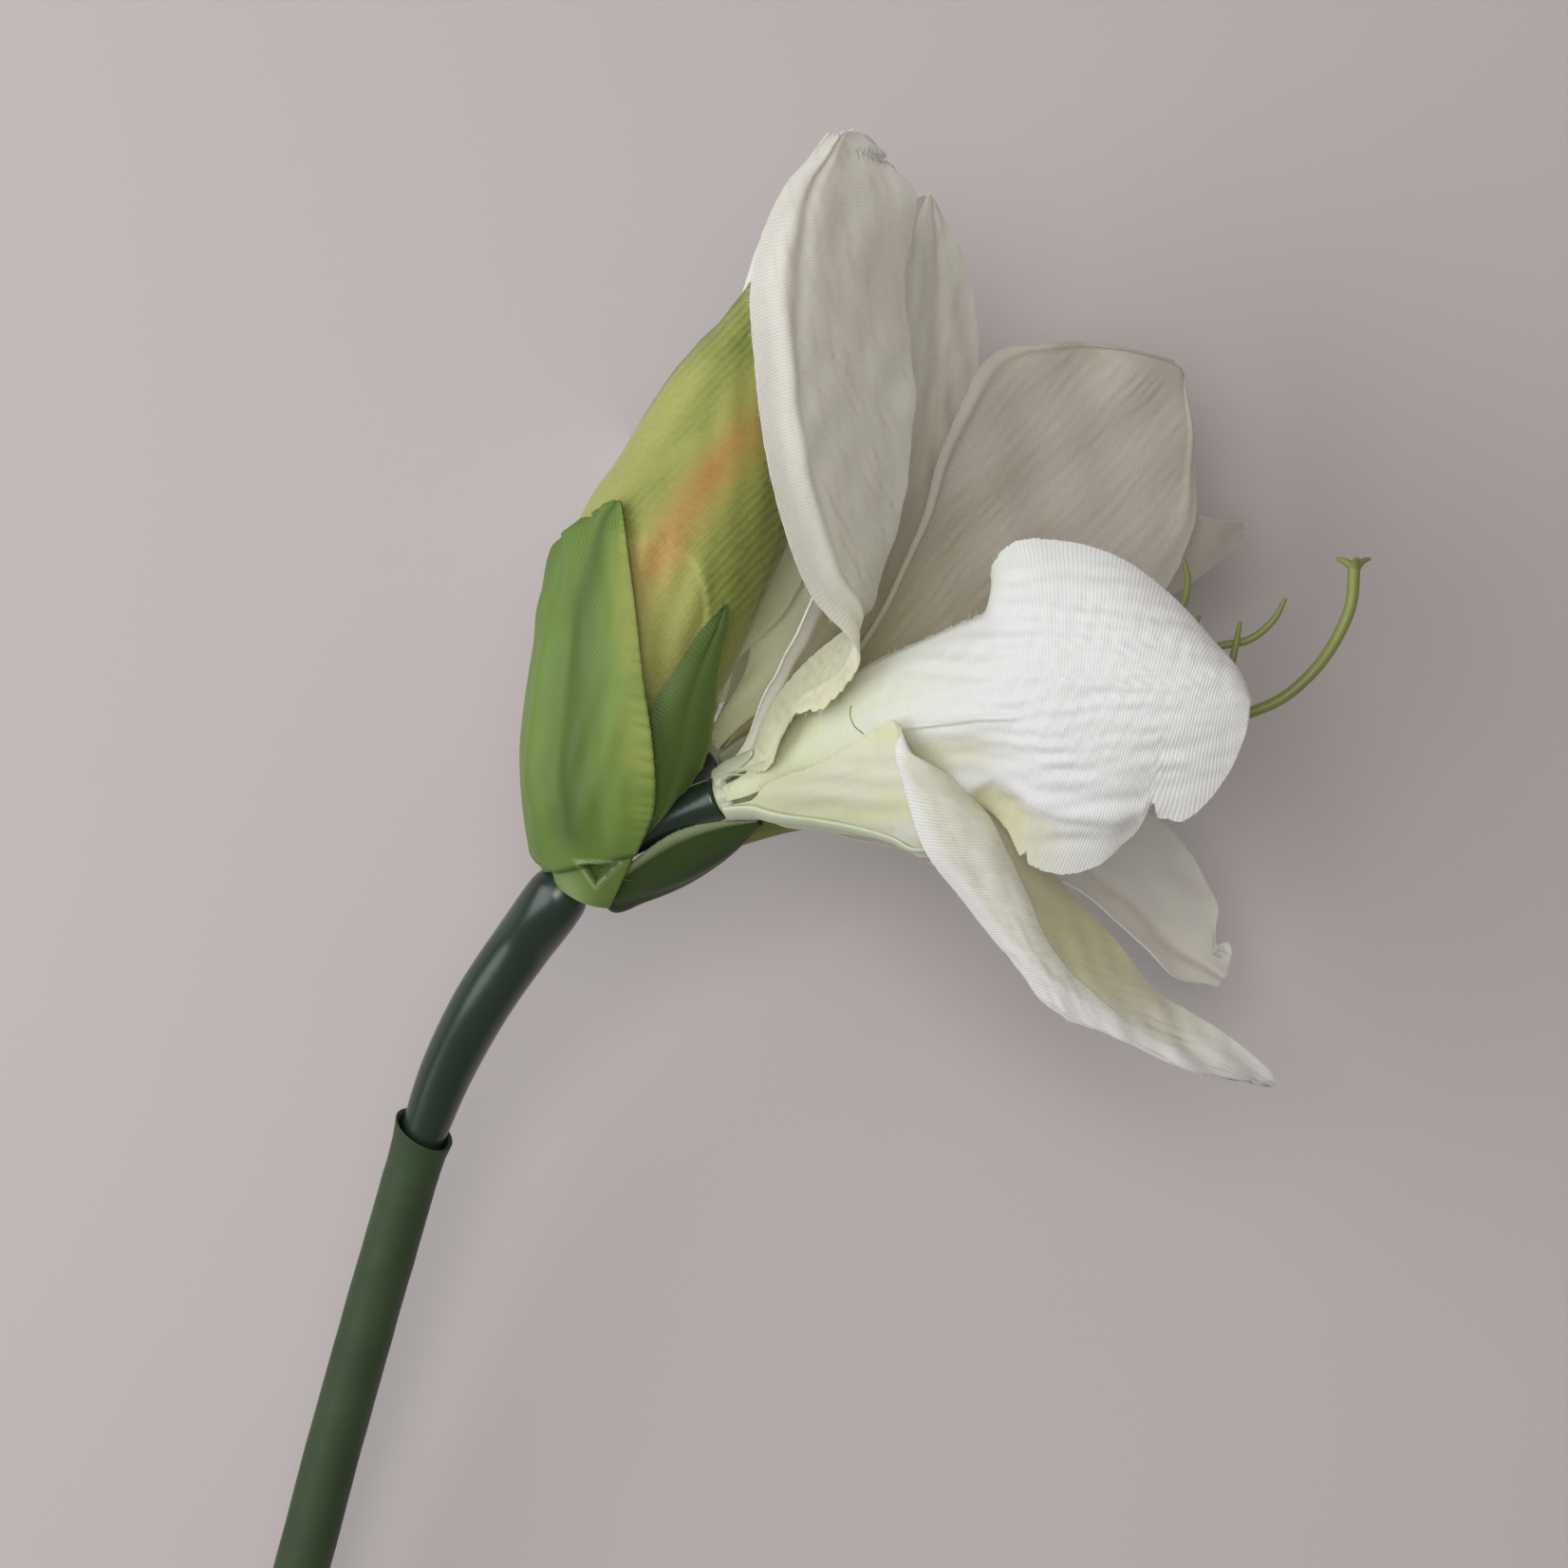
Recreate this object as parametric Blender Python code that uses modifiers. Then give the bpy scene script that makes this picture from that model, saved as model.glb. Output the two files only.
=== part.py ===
"""An artificial amaryllis that lies on a surface: plastic stem, fabric bracts, a bud and two open blooms.

Metres, +Z up. Points are written in millimetres in the flower's own frame: X and Y run across the
view from above, Z is the height over the surface, and the front bloom opens towards +X.
"""
import bmesh
import bpy
from math import cos, degrees, pi, radians, sin
from mathutils import Matrix, Quaternion, Vector

MM = 0.001
FLOWER_PLACE = Vector((29, 152.5, 0)) * MM  # moves the flower's frame so that the origin is under its middle

# Stem
STEM_RADIUS = 6.0
CUT_RADIUS = 7.0
STEM_ROUTE = [(-177, -435, 6.72),(-160, -365, 20), (-144, -300, 33), (-129, -240, 44), (-113.5, -185, 55),
              (-102.2, -145, 64), (-93.2, -115, 72), (-86.4, -93, 79), (-82, -79, 84)]
RIM_RADIUS = 6.8
SOCKET_RADIUS = 5.15
SOCKET_DEPTH = 14
RIM_SLANT = 20                              # degrees that the socket's rim leans from square
WIRE_RADIUS = 1.0
WIRE_BORE = 1.25
WIRE_INTO_PLUG = 9
UPPER_ROUTE = [(-82, -79, 84), (-76.4, -65, 88.7), (-68.6, -50.6, 95), (-58.5, -35.8, 102), (-50, -24.5, 109)]
UPPER_RADII = [4.85, 5.6, 6.0, 6.2, 6.7]
PLUG_LENGTH = 13
PLUG_RADIUS = 4.85
KNOB_ROUTE = [(-50, -24, 109), (-44.5, -17, 110.5), (-41, -10.5, 111.5), (-38, -4.7, 112)]
KNOB_RADII = [5.4, 5.2, 4.2, 3.0]
FRONT_NECK = [(-47, -20, 111), (-38, -13.5, 114.3), (-23, -6.3, 117.2), (-14, -3, 120)]
REAR_NECK = [(-44, -16, 109), (-37, -8, 103), (-24.2, -0.7, 95.3), (-19, 6, 90)]
NECK_RADIUS = 4.8

# Bud
BUD_ROUTE = [(-37.7, -3.9, 112), (-35.5, 6, 112), (-31.5, 20, 112), (-28, 37, 112), (-23, 56, 112),
             (-16, 73, 112), (-10, 92, 113), (-5, 104, 114), (-2, 115, 114), (-1.5, 124, 115)]
BUD_RADII = [4.4, 9.8, 17.6, 22.5, 24.8, 21.2, 14.5, 7.6, 3.6, 2.2]
BUD_WRAPS = 3
BUD_TURN = 70                               # degrees that the wraps turn from base to tip
CORE_STATIONS = 7

# Blooms: where the neck ends, and the way the bloom faces
FRONT_BASE = (-14, -3, 120)
FRONT_BEARING = 20
FRONT_TILT = 16
REAR_BASE = (-19, 6, 90)
REAR_BEARING = 52
REAR_TILT = -32
HUB_LENGTH = 14
CLAW_RADIUS = 4.2
CLAW_HALF_ANGLE = 23

RIB_STATIONS = (0.04, 0.08, 0.12, 0.16, 0.2, 0.24, 0.28, 0.32, 0.36)
RIB_RADII = [0.9, 0.85, 0.75, 0.5]
RIB_STANDOFF = 1.8

CLOTH = 0.7                                 # thickness of the stiffened petal cloth
BRACT_CLOTH = 0.8
FLAT_TRIM = 0.05                            # cut from the petal that rests on its tip, to leave a true flat
RESTING_PETAL = "rear_petal_right"

PALETTE = {
    "stem_green": ((0.105, 0.150, 0.080), 0.55, 0.0),
    "stem_dark_green": ((0.020, 0.050, 0.030), 0.28, 0.0),
    "wire_steel": ((0.55, 0.55, 0.56), 0.35, 1.0),
    "bract_green": ((0.105, 0.230, 0.045), 0.75, 0.0),
    "bud_cloth": ((0.470, 0.520, 0.110), 0.80, 0.0),
    "bud_foam": ((0.780, 0.780, 0.700), 0.90, 0.0),
    "petal_cloth": ((0.800, 0.800, 0.760), 0.80, 0.0),
    "calyx_white": ((0.720, 0.770, 0.600), 0.35, 0.0),
    "stamen_green": ((0.280, 0.330, 0.080), 0.45, 0.0),
}

# Front bloom: each petal's left edge, mid-rib and right edge from claw to tip, seen from outside
FRONT_PETALS = {
    "front_petal_top": {
        "azimuth": 30, "roll": (0, 2.5),
        "left": [(-2, 16, 126), (7, 26, 130), (17, 31, 137), (21, 44, 140), (26, 65, 146), (27, 85, 152),
                 (25, 106, 160), (27, 121, 174), (17, 131, 188)],
        "mid": [(-3, 13, 134), (5, 23, 141), (12, 33, 148), (16, 47, 156), (13, 68, 167), (11, 89, 176),
                (11, 107, 184), (12, 121, 189), (14, 132, 191)],
        "right": [(0, 10, 138), (10, 18, 147), (15, 27, 154), (7, 40, 168), (-1, 61, 182), (-3, 82, 190),
                  (-5, 102, 196), (2, 119, 198), (11, 130, 194)],
    },
    "front_petal_back": {
        "azimuth": 338, "roll": (0, 0),
        "left": [(3, 16, 112), (18, 34, 103), (32, 55, 96), (41, 76, 91), (44, 100, 90), (40, 119, 94),
                 (34, 130, 99)],
        "mid": [(-1, 17, 118), (12, 39, 118), (21, 60, 117), (26, 81, 113), (29, 103, 108), (31, 122, 103),
                (32, 132, 101)],
        "right": [(-3, 17, 123), (7, 37, 130), (13, 57, 134), (14, 79, 133), (16, 101, 128), (23, 122, 116),
                  (30, 130, 105)],
    },
    "front_petal_far": {
        "azimuth": 281, "roll": (0, 0),
        "left": [(8, 3, 106), (31, 17, 96), (55, 29, 87), (77, 40, 80), (93, 58, 75), (95, 79, 75), (92, 93, 79)],
        "mid": [(3, 8, 112), (22, 27, 104), (41, 46, 97), (61, 66, 91), (75, 80, 86), (85, 90, 83), (91, 95, 81)],
        "right": [(5, 13, 116), (21, 38, 112), (30, 58, 110), (39, 83, 106), (53, 97, 99), (73, 100, 91),
                  (89, 96, 82)],
    },
    "front_petal_near": {
        "azimuth": 90, "roll": (0, 0),
        "left": [(1, 9, 130), (11, 19, 137), (23, 29, 143), (37, 35, 149), (43, 44, 154), (51, 51, 159),
                 (70, 46, 164), (87, 32, 168), (94, 21, 170)],
        "mid": [(-1, 5, 131), (11, 10, 141), (27, 14, 153), (42, 16, 162), (56, 17, 168), (67, 18, 171),
                (78, 18, 173), (88, 18, 173), (95, 17, 171)],
        "right": [(1, 1, 130), (13, 0, 136), (28, -5, 141), (41, -8, 146), (49, -14, 150), (59, -20, 154),
                  (73, -13, 159), (90, 1, 166), (95, 13, 170)],
    },
    "front_petal_low": {
        "azimuth": 150, "roll": (3.5, 0),
        "left": [(-4, 0, 133), (8, 5, 142), (19, 11, 153), (24, 13, 160), (25, 3, 158), (32, -17, 151),
                 (47, -36, 143), (63, -51, 137), (87, -61, 126), (106, -66, 117)],
        "mid": [(-3, -6, 127), (11, -8, 131), (24, -11, 134), (33, -14, 137), (40, -14, 138), (48, -22, 134),
                (58, -38, 129), (70, -48, 126), (91, -57, 121), (108, -67, 115)],
        "right": [(-2, -8.5, 122), (10, -10, 120), (26, -8, 117), (38, -7, 116), (50, -10, 117), (62, -22, 119),
                  (73, -34, 119), (81, -46, 118), (98, -55, 117), (109, -65, 115)],
    },
    "front_petal_under": {
        "azimuth": 222, "roll": (0, 0),
        "left": [(0, -7.5, 119.5), (20, -13, 110), (41, -17, 100), (61, -21, 90), (77, -32, 78), (91, -45, 67),
                 (101, -47, 59)],
        "mid": [(1, -5, 117), (22, -8, 104), (44, -10, 92), (64, -13, 80), (81, -22, 70), (94, -35, 62),
                (104, -45, 58)],
        "right": [(3, -2, 113), (25, -1, 94), (49, -1, 80), (71, -2, 70), (90, -10, 62), (100, -25, 58),
                  (105, -40, 57)],
    },
}

# Rear bloom: azimuth, length, flare at the claw and at the tip in degrees, half width
REAR_PETALS = {
    "rear_petal_left": (355, 126, 29, 39, 21),
    "rear_petal_top": (60, 120, 20, 27, 27),
    "rear_petal_near": (118, 140, 28, 36, 27),
    "rear_petal_right": (175, 146, 20, 27, 27),
    "rear_petal_low": (230, 116.8, 14, 17, 27),
    "rear_petal_under": (288, 119.8, 36, 46, 25),
}
REAR_RIBS = ("rear_petal_left", "rear_petal_near", "rear_petal_under")
FRONT_RIBS = ("front_petal_top", "front_petal_far", "front_petal_low")
WIDEST_SPAN = 48                            # degrees either side that a rear petal wraps round the axis

BRACTS = {
    "bract_left": {
        "left": [(-55.6, -17, 109), (-57, -9, 104), (-58, 6, 103), (-57, 18, 104), (-55, 31, 106), (-53, 43, 110),
                 (-50.5, 52, 117), (-37, 61, 131)],
        "mid": [(-48, -24.7, 117.2), (-51, -13, 121), (-52, -1, 124), (-51, 14, 126), (-49, 28, 128), (-46, 42, 129),
                (-41.5, 54, 131), (-36, 61, 133)],
        "right": [(-38, -28, 115), (-32, -15, 124), (-28, -5, 130), (-28, 7, 135), (-30, 22, 137), (-32, 40, 138),
                  (-34, 54, 136), (-35, 61, 134)],
    },
    "bract_right": {
        "left": [(-39, -18, 119), (-32, -7, 125), (-31, 5, 130), (-28, 17, 133), (-23, 25, 134), (-17, 34, 135),
                 (-13, 38, 135)],
        "mid": [(-36, -16, 120.3), (-27, -7, 124), (-23, 5, 128), (-20, 18, 132), (-17, 27, 133), (-14, 34, 134),
                (-12.5, 39, 134)],
        "right": [(-33, -14, 121), (-26, -6, 122.9), (-18, 4, 120.4), (-15, 16, 125), (-14, 25, 129), (-12, 35, 132),
                  (-11.5, 38, 133)],
    },
    "bract_lower": {
        "left": [(-42.8, -22.4, 104.5), (-38, -23, 101), (-30, -16, 99), (-21, -11, 100), (-13, -10, 105),
                 (-5, -8, 113)],
        "mid": [(-40.4, -24.4, 110), (-38, -28, 108), (-31, -26, 108), (-21, -22, 109), (-12, -16, 111),
                (-5, -9, 115)],
        "right": [(-41.8, -23.9, 114.8), (-38, -24.5, 113), (-33, -20, 116), (-25, -14.2, 120.2),
                  (-16, -9.7, 120.3), (-6, -8.4, 117)],
    },
    "bract_behind": {
        "left": [(-49.6, -16.7, 106), (-44, -20, 96), (-26, -14, 86), (-9, -9, 83), (5, -6, 84), (17, -8, 88)],
        "mid": [(-47.6, -18.3, 104.4), (-43, -23, 98), (-27, -20, 91), (-10, -14, 89), (4, -10, 89), (16, -9, 90)],
        "right": [(-45.3, -20, 104), (-41, -22, 100), (-27, -17, 97), (-10, -10, 97), (4, -7, 95), (15, -9, 92)],
    },
}

# Front bloom's pistil and stamens, from the hub's end outwards
PISTIL_RADIUS = 1.25
STAMEN_RADIUS = 0.9
FRONT_PISTIL = [(56, 10, 131), (84, 11, 137), (99, 15, 139), (106, 18, 140), (113, 24, 141), (118, 31, 141),
                (121, 38, 141), (122, 47, 140)]
FRONT_STAMENS = [
    [(61, 19, 126), (85, 27, 130), (95, 30, 131), (100, 31, 132), (106, 36, 133), (108, 40, 134)],
    [(61, 14, 128), (87, 21, 132), (95, 23, 134), (97, 29, 135), (98, 35, 136)],
    [(54, 5, 126), (75, 4, 128), (87, 7, 131), (92, 13, 134)],
    [(57, 7, 118), (78, 9, 116), (91, 13, 116), (96, 19, 118)],
    [(57, 19, 116), (80, 26, 117), (88, 30, 118), (91, 37, 119)],
    [(53, 26, 119), (80, 33, 121), (87, 39, 122), (88, 45, 123), (87, 49, 124)],
]
FIRST_STAMEN = 30                           # azimuth of the first stamen on the knob; the rest follow by 60


def clear_scene():
    for thing in list(bpy.data.objects):
        bpy.data.objects.remove(thing, do_unlink=True)


def collection(name):
    group = bpy.data.collections.new(name)
    bpy.context.scene.collection.children.link(group)
    return group


def make_materials():
    for name, (colour, roughness, metallic) in PALETTE.items():
        material = bpy.data.materials.new(name)
        material.use_nodes = True
        shader = material.node_tree.nodes["Principled BSDF"]
        shader.inputs["Base Color"].default_value = (*colour, 1)
        shader.inputs["Roughness"].default_value = roughness
        shader.inputs["Metallic"].default_value = metallic


def vectors(points):
    return [Vector(point) for point in points]


def along(points, t):
    """The point at t, from 0 to 1, on a smooth curve through the points, however far apart they are."""
    spot = t * (len(points) - 1)
    i = min(int(spot), len(points) - 2)
    f = spot - i
    step = points[i + 1] - points[i]
    before = points[i] - points[i - 1] if i > 0 else step
    after = points[i + 2] - points[i + 1] if i + 2 < len(points) else step
    start = (before * step.length / before.length + step * before.length / step.length)
    start *= step.length / (step.length + before.length)
    end = (after * step.length / after.length + step * after.length / step.length)
    end *= step.length / (step.length + after.length)
    return (points[i] + step * f * f * (3 - 2 * f) + start * f * (1 - f) ** 2 + end * f * f * (f - 1))


def share(values, t):
    """The value at t, from 0 to 1, along evenly spaced values."""
    spot = t * (len(values) - 1)
    i = min(int(spot), len(values) - 2)
    return values[i] + (values[i + 1] - values[i]) * (spot - i)


def keep(piece, name, material, group):
    """Names a piece, gives it its material and puts it in the flower's place."""
    piece.name = name
    piece.data.name = name
    piece.data.materials.clear()
    piece.data.materials.append(bpy.data.materials[material])
    piece.location = FLOWER_PLACE
    for old in list(piece.users_collection):
        old.objects.unlink(piece)
    group.objects.link(piece)
    return piece


def rod(name, route, radii, material, group, steps=10, sides=12):
    """A round rod along a smooth route, made as a bevelled curve and turned into a closed mesh."""
    route = vectors(route)
    curve = bpy.data.curves.new(name, "CURVE")
    curve.dimensions = "3D"
    curve.bevel_depth = MM
    curve.bevel_resolution = sides // 2 - 2
    curve.use_fill_caps = True
    spline = curve.splines.new("POLY")
    spline.points.add(steps)
    for i, point in enumerate(spline.points):
        t = i / steps
        point.co = (*(along(route, t) * MM), 1)
        point.radius = share(radii, t)
    holder = bpy.data.objects.new(name, curve)
    bpy.context.scene.collection.objects.link(holder)
    evaluated = holder.evaluated_get(bpy.context.evaluated_depsgraph_get())
    mesh = bpy.data.meshes.new_from_object(evaluated)
    bpy.data.objects.remove(holder, do_unlink=True)
    weld(mesh)
    piece = bpy.data.objects.new(name, mesh)
    bpy.context.scene.collection.objects.link(piece)
    return keep(piece, name, material, group)


def weld(mesh):
    work = bmesh.new()
    work.from_mesh(mesh)
    bmesh.ops.remove_doubles(work, verts=work.verts, dist=0.01 * MM)
    bmesh.ops.recalc_face_normals(work, faces=work.faces)
    work.to_mesh(mesh)
    work.free()


def boolean(piece, operation, tool):
    """Joins or cuts with another mesh, which is hidden from the build."""
    tool.hide_render = True
    tool.display_type = "WIRE"
    change = piece.modifiers.new(operation.title(), "BOOLEAN")
    change.operation = operation
    change.object = tool


def sheet(name, place, material, group, columns=8, rows=12, thickness=CLOTH):
    """A thin piece of cloth: a grid put in place by a function of s, across, and t, along."""
    bpy.ops.mesh.primitive_grid_add(x_subdivisions=columns, y_subdivisions=rows, size=2)
    piece = bpy.context.object
    for vertex in piece.data.vertices:
        s, t = vertex.co.x, (vertex.co.y + 1) / 2
        vertex.co = place(s, t) * MM
    work = bmesh.new()
    work.from_mesh(piece.data)
    bmesh.ops.triangulate(work, faces=work.faces, quad_method="FIXED")
    work.to_mesh(piece.data)
    work.free()
    keep(piece, name, material, group)
    solid = piece.modifiers.new("Cloth", "SOLIDIFY")
    solid.thickness = thickness * MM
    solid.offset = 0
    return piece


class Blade:
    """The surface through a blade's left edge, mid-rib and right edge, with its margins rolled back.

    What would reach lower than the surface that the flower lies on is laid flat on it.
    """

    def __init__(self, left, mid, right, roll=(0, 0)):
        self.left, self.mid, self.right = vectors(left), vectors(mid), vectors(right)
        self.roll = roll

    def outward(self, t):
        ahead = along(self.mid, min(t + 0.03, 1)) - along(self.mid, max(t - 0.03, 0))
        return (along(self.right, t) - along(self.left, t)).cross(ahead).normalized()

    def __call__(self, s, t):
        a, b, c = along(self.left, t), along(self.mid, t), along(self.right, t)
        point = b + (c - a) * s / 2 + ((a + c) / 2 - b) * s * s
        rolled = max(0, abs(s) - 0.7) / 0.3 * sin(pi * t)
        point += self.outward(t) * rolled * self.roll[1 if s > 0 else 0]
        point.z = max(point.z, CLOTH / 2 - FLAT_TRIM)
        return point


def bloom_frame(base, bearing, tilt):
    """The bloom's frame: Z along its axis, X to the top of the view and Y to the viewer above."""
    axis = Vector((cos(radians(bearing)) * cos(radians(tilt)), sin(radians(bearing)) * cos(radians(tilt)),
                   sin(radians(tilt))))
    top = (Vector((0, 1, 0)) - axis * axis.y).normalized()
    near = axis.cross(top)
    frame = Matrix((top, near, axis)).transposed().to_4x4()
    frame.translation = Vector(base)
    return frame


def polar(frame, azimuth, radius, height):
    angle = radians(azimuth)
    return frame @ Vector((radius * cos(angle), radius * sin(angle), height))


def claw(frame, azimuth):
    """A petal's two narrow base stations round the hub: its left, mid and right points."""
    edges = []
    for side in (-1, 0, 1):
        angle = azimuth + side * CLAW_HALF_ANGLE
        edges.append([polar(frame, angle, CLAW_RADIUS, 1.9), polar(frame, angle, CLAW_RADIUS + 1.3, 7.5)])
    return edges


def front_petal(frame, petal):
    left, mid, right = claw(frame, petal["azimuth"])
    return Blade(left + vectors(petal["left"]), mid + vectors(petal["mid"]), right + vectors(petal["right"]),
                 petal["roll"])


def petal_width(t):
    """A petal's half width along its length, as a share of the widest."""
    return max(0.06, sin(pi * (0.97 * t ** 0.8 + 0.02)) ** 0.65)


def rear_petal(frame, azimuth, length, flare_claw, flare_tip, half_width, stations=8):
    """A regular petal, whose mid-rib flares away from the bloom's axis."""
    edges = claw(frame, azimuth)
    radius = CLAW_RADIUS + 1.3
    height = 7.5
    step = (length - height) / stations
    for k in range(1, stations + 1):
        t = k / stations
        flare = radians(flare_claw + (flare_tip - flare_claw) * t)
        radius += step * sin(flare)
        height += step * cos(flare)
        widest = CLAW_HALF_ANGLE + (WIDEST_SPAN - CLAW_HALF_ANGLE) * min(1, (height - 7.5) / 26) ** 2
        span = min(widest, degrees(half_width * petal_width(t) / radius))
        for edge, side in zip(edges, (-1, 0, 1)):
            edge.append(polar(frame, azimuth + side * span, radius, height))
    return Blade(*edges)


def calyx(name, frame, azimuths, petals, group, tools):
    """The bloom's plastic hub, its base disc and the ribs behind three of the petals."""
    hub = rod(name, [polar(frame, 0, 0, 0.6), polar(frame, 0, 0, HUB_LENGTH)], [3.4, 2.0], "calyx_white", group,
              steps=3, sides=10)
    disc = rod(name + "_disc", [polar(frame, 0, 0, 0.5), polar(frame, 0, 0, 1.5)], [6.0, 6.0],
               "calyx_white", tools, steps=1, sides=16)
    boolean(hub, "UNION", disc)
    for i, (azimuth, petal) in enumerate(zip(azimuths, petals)):
        route = [polar(frame, azimuth, 5.2, 0.8)]
        for t in RIB_STATIONS:
            route.append(petal(0, t) + petal.outward(t) * RIB_STANDOFF)
        rib = rod(f"{name}_rib_{i + 1}", route, RIB_RADII, "calyx_white", tools, steps=10, sides=6)
        boolean(hub, "UNION", rib)
    return hub


def stamens(name, frame, pistil, filaments, group, tools):
    """Pistil and stamens, fused at the knob that sits on the hub's end."""
    knob = rod(name, [polar(frame, 0, 0, HUB_LENGTH + 0.3), polar(frame, 0, 0, HUB_LENGTH + 5)], [1.8, 3.1],
               "stamen_green", group, steps=2, sides=12)
    start = polar(frame, 0, 0, HUB_LENGTH + 3)
    style = rod(name + "_style", [start] + pistil, [PISTIL_RADIUS] * 2, "stamen_green", tools, steps=14, sides=6)
    boolean(knob, "UNION", style)
    tip = Vector(pistil[-1])
    for i in range(3):
        angle = radians(90 + 120 * i)
        lobe_end = tip + Vector((cos(angle) * 4.0, 1.2, sin(angle) * 4.0))
        lobe = rod(f"{name}_lobe_{i + 1}", [tip - Vector((0, 1.2, 0)), lobe_end], [0.9, 0.7],
                   "stamen_green", tools, steps=2, sides=6)
        boolean(knob, "UNION", lobe)
    for i, filament in enumerate(filaments):
        azimuth = FIRST_STAMEN + 60 * i
        root = [polar(frame, azimuth, 2.0, HUB_LENGTH + 3.5), polar(frame, azimuth, 2.6, HUB_LENGTH + 10)]
        piece = rod(f"{name}_filament_{i + 1}", root + filament, [STAMEN_RADIUS * 0.8, STAMEN_RADIUS * 0.8],
                    "stamen_green", tools, steps=9, sides=6)
        boolean(knob, "UNION", piece)
    return knob


def stem(group, tools):
    """Lower rod with its slanted socket, the wire, and the upper casting with its plug and necks."""
    route = vectors(STEM_ROUTE)
    joint = route[-1]
    ahead = (joint - along(route, 0.97)).normalized()
    taper = [CUT_RADIUS + (STEM_RADIUS - CUT_RADIUS) * k / 16 for k in range(17)]
    lower_radii = taper + [STEM_RADIUS, RIM_RADIUS]
    lower = rod("stem_lower", route + [joint + ahead * 6], lower_radii, "stem_green", group, steps=20, sides=14)
    socket = rod("socket_tool", [joint - ahead * SOCKET_DEPTH, joint + ahead * 8],
                 [SOCKET_RADIUS, SOCKET_RADIUS, SOCKET_RADIUS, SOCKET_RADIUS + 0.9], "stem_green", tools,
                 steps=4, sides=14)
    boolean(lower, "DIFFERENCE", socket)
    bpy.ops.mesh.primitive_cube_add(size=30 * MM)
    slant = keep(bpy.context.object, "slant_tool", "stem_green", tools)
    turn = ahead.to_track_quat("Z", "Y") @ Quaternion((0, 1, 0), radians(RIM_SLANT))
    slant.rotation_mode = "QUATERNION"
    slant.rotation_quaternion = turn
    slant.location = FLOWER_PLACE + (joint + turn @ Vector((0, 0, 15))) * MM
    boolean(lower, "DIFFERENCE", slant)
    bore = rod("bore_tool", [route[0] - ahead] + route[1:], [WIRE_BORE, WIRE_BORE], "stem_green", tools, steps=18,
               sides=8)
    boolean(lower, "DIFFERENCE", bore)
    wire_route = [along(route, 0.004 + 0.996 * k / 18) for k in range(19)] + [joint + ahead * WIRE_INTO_PLUG * 0.9]
    rod("stem_wire", wire_route, [WIRE_RADIUS, WIRE_RADIUS], "wire_steel", group, steps=19, sides=8)

    upper = rod("stem_upper", UPPER_ROUTE, UPPER_RADII, "stem_dark_green", group, steps=12, sides=14)
    plug = rod("plug_tool", [joint - ahead * PLUG_LENGTH, joint + ahead * 3], [PLUG_RADIUS, PLUG_RADIUS],
               "stem_dark_green", tools, steps=1, sides=14)
    knob = rod("knob_tool", KNOB_ROUTE, KNOB_RADII, "stem_dark_green", tools, steps=6, sides=12)
    front_neck = rod("front_neck_tool", FRONT_NECK, [NECK_RADIUS, NECK_RADIUS], "stem_dark_green", tools,
                     steps=6, sides=12)
    rear_neck = rod("rear_neck_tool", REAR_NECK, [NECK_RADIUS, NECK_RADIUS], "stem_dark_green", tools,
                    steps=6, sides=12)
    for tool in (plug, knob, front_neck, rear_neck):
        boolean(upper, "UNION", tool)
    hole = rod("hole_tool", [joint - ahead * (PLUG_LENGTH + 2), joint + ahead * WIRE_INTO_PLUG],
               [WIRE_BORE, WIRE_BORE], "stem_dark_green", tools, steps=1, sides=8)
    boolean(upper, "DIFFERENCE", hole)


def bud(group):
    """Foam core and the cloth wraps that overlap round it."""
    route = vectors(BUD_ROUTE)
    core_radii = [radius * 0.74 - 0.4 for radius in BUD_RADII[:CORE_STATIONS]]
    core_radii[-1] *= 0.6
    rod("bud_core", route[:CORE_STATIONS], core_radii, "bud_foam", group, steps=12, sides=12)
    for wrap in range(BUD_WRAPS):
        start = 150 + wrap * 360 / BUD_WRAPS

        def place(s, t, start=start):
            t = 0.02 + 0.97 * t
            radius = share(BUD_RADII, t)
            fullness = min(1, max(0, (radius - 15) / 6))
            half_span = 51 + 7.8 * min(1, radius / 9) + 21 * fullness
            angle = radians(start + BUD_TURN * (t - 0.5) + half_span * s)
            depth = radius * (1 - 0.10 * (1 - s) / 2) - 0.4
            return along(route, t) + Vector((cos(angle) * depth, 0, sin(angle) * depth))
        sheet(f"bud_petal_{wrap + 1}", place, "bud_cloth", group, columns=10, rows=12)


def bloom(name, frame, petals, ribs, pistil, filaments, group, tools):
    """One open bloom: its petals, the plastic hub with ribs, and the pistil and stamens."""
    for petal_name, (azimuth, petal) in petals.items():
        sheet(petal_name, petal, "petal_cloth", group)
    azimuths = [petals[rib][0] for rib in ribs]
    behind = [petals[rib][1] for rib in ribs]
    calyx(name + "_calyx", frame, azimuths, behind, group, tools)
    stamens(name + "_stamens", frame, pistil, filaments, group, tools)


def flatten_tip(petal, tools):
    """Trims the petal's lying tip level with the surface, which is at height 0."""
    depth = 10 * MM
    bpy.ops.mesh.primitive_cube_add(size=depth)
    below = keep(bpy.context.object, "below_surface_tool", "petal_cloth", tools)
    below.location = (0, 0, -depth / 2)
    below.scale = (60, 60, 1)
    boolean(petal, "DIFFERENCE", below)


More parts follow.
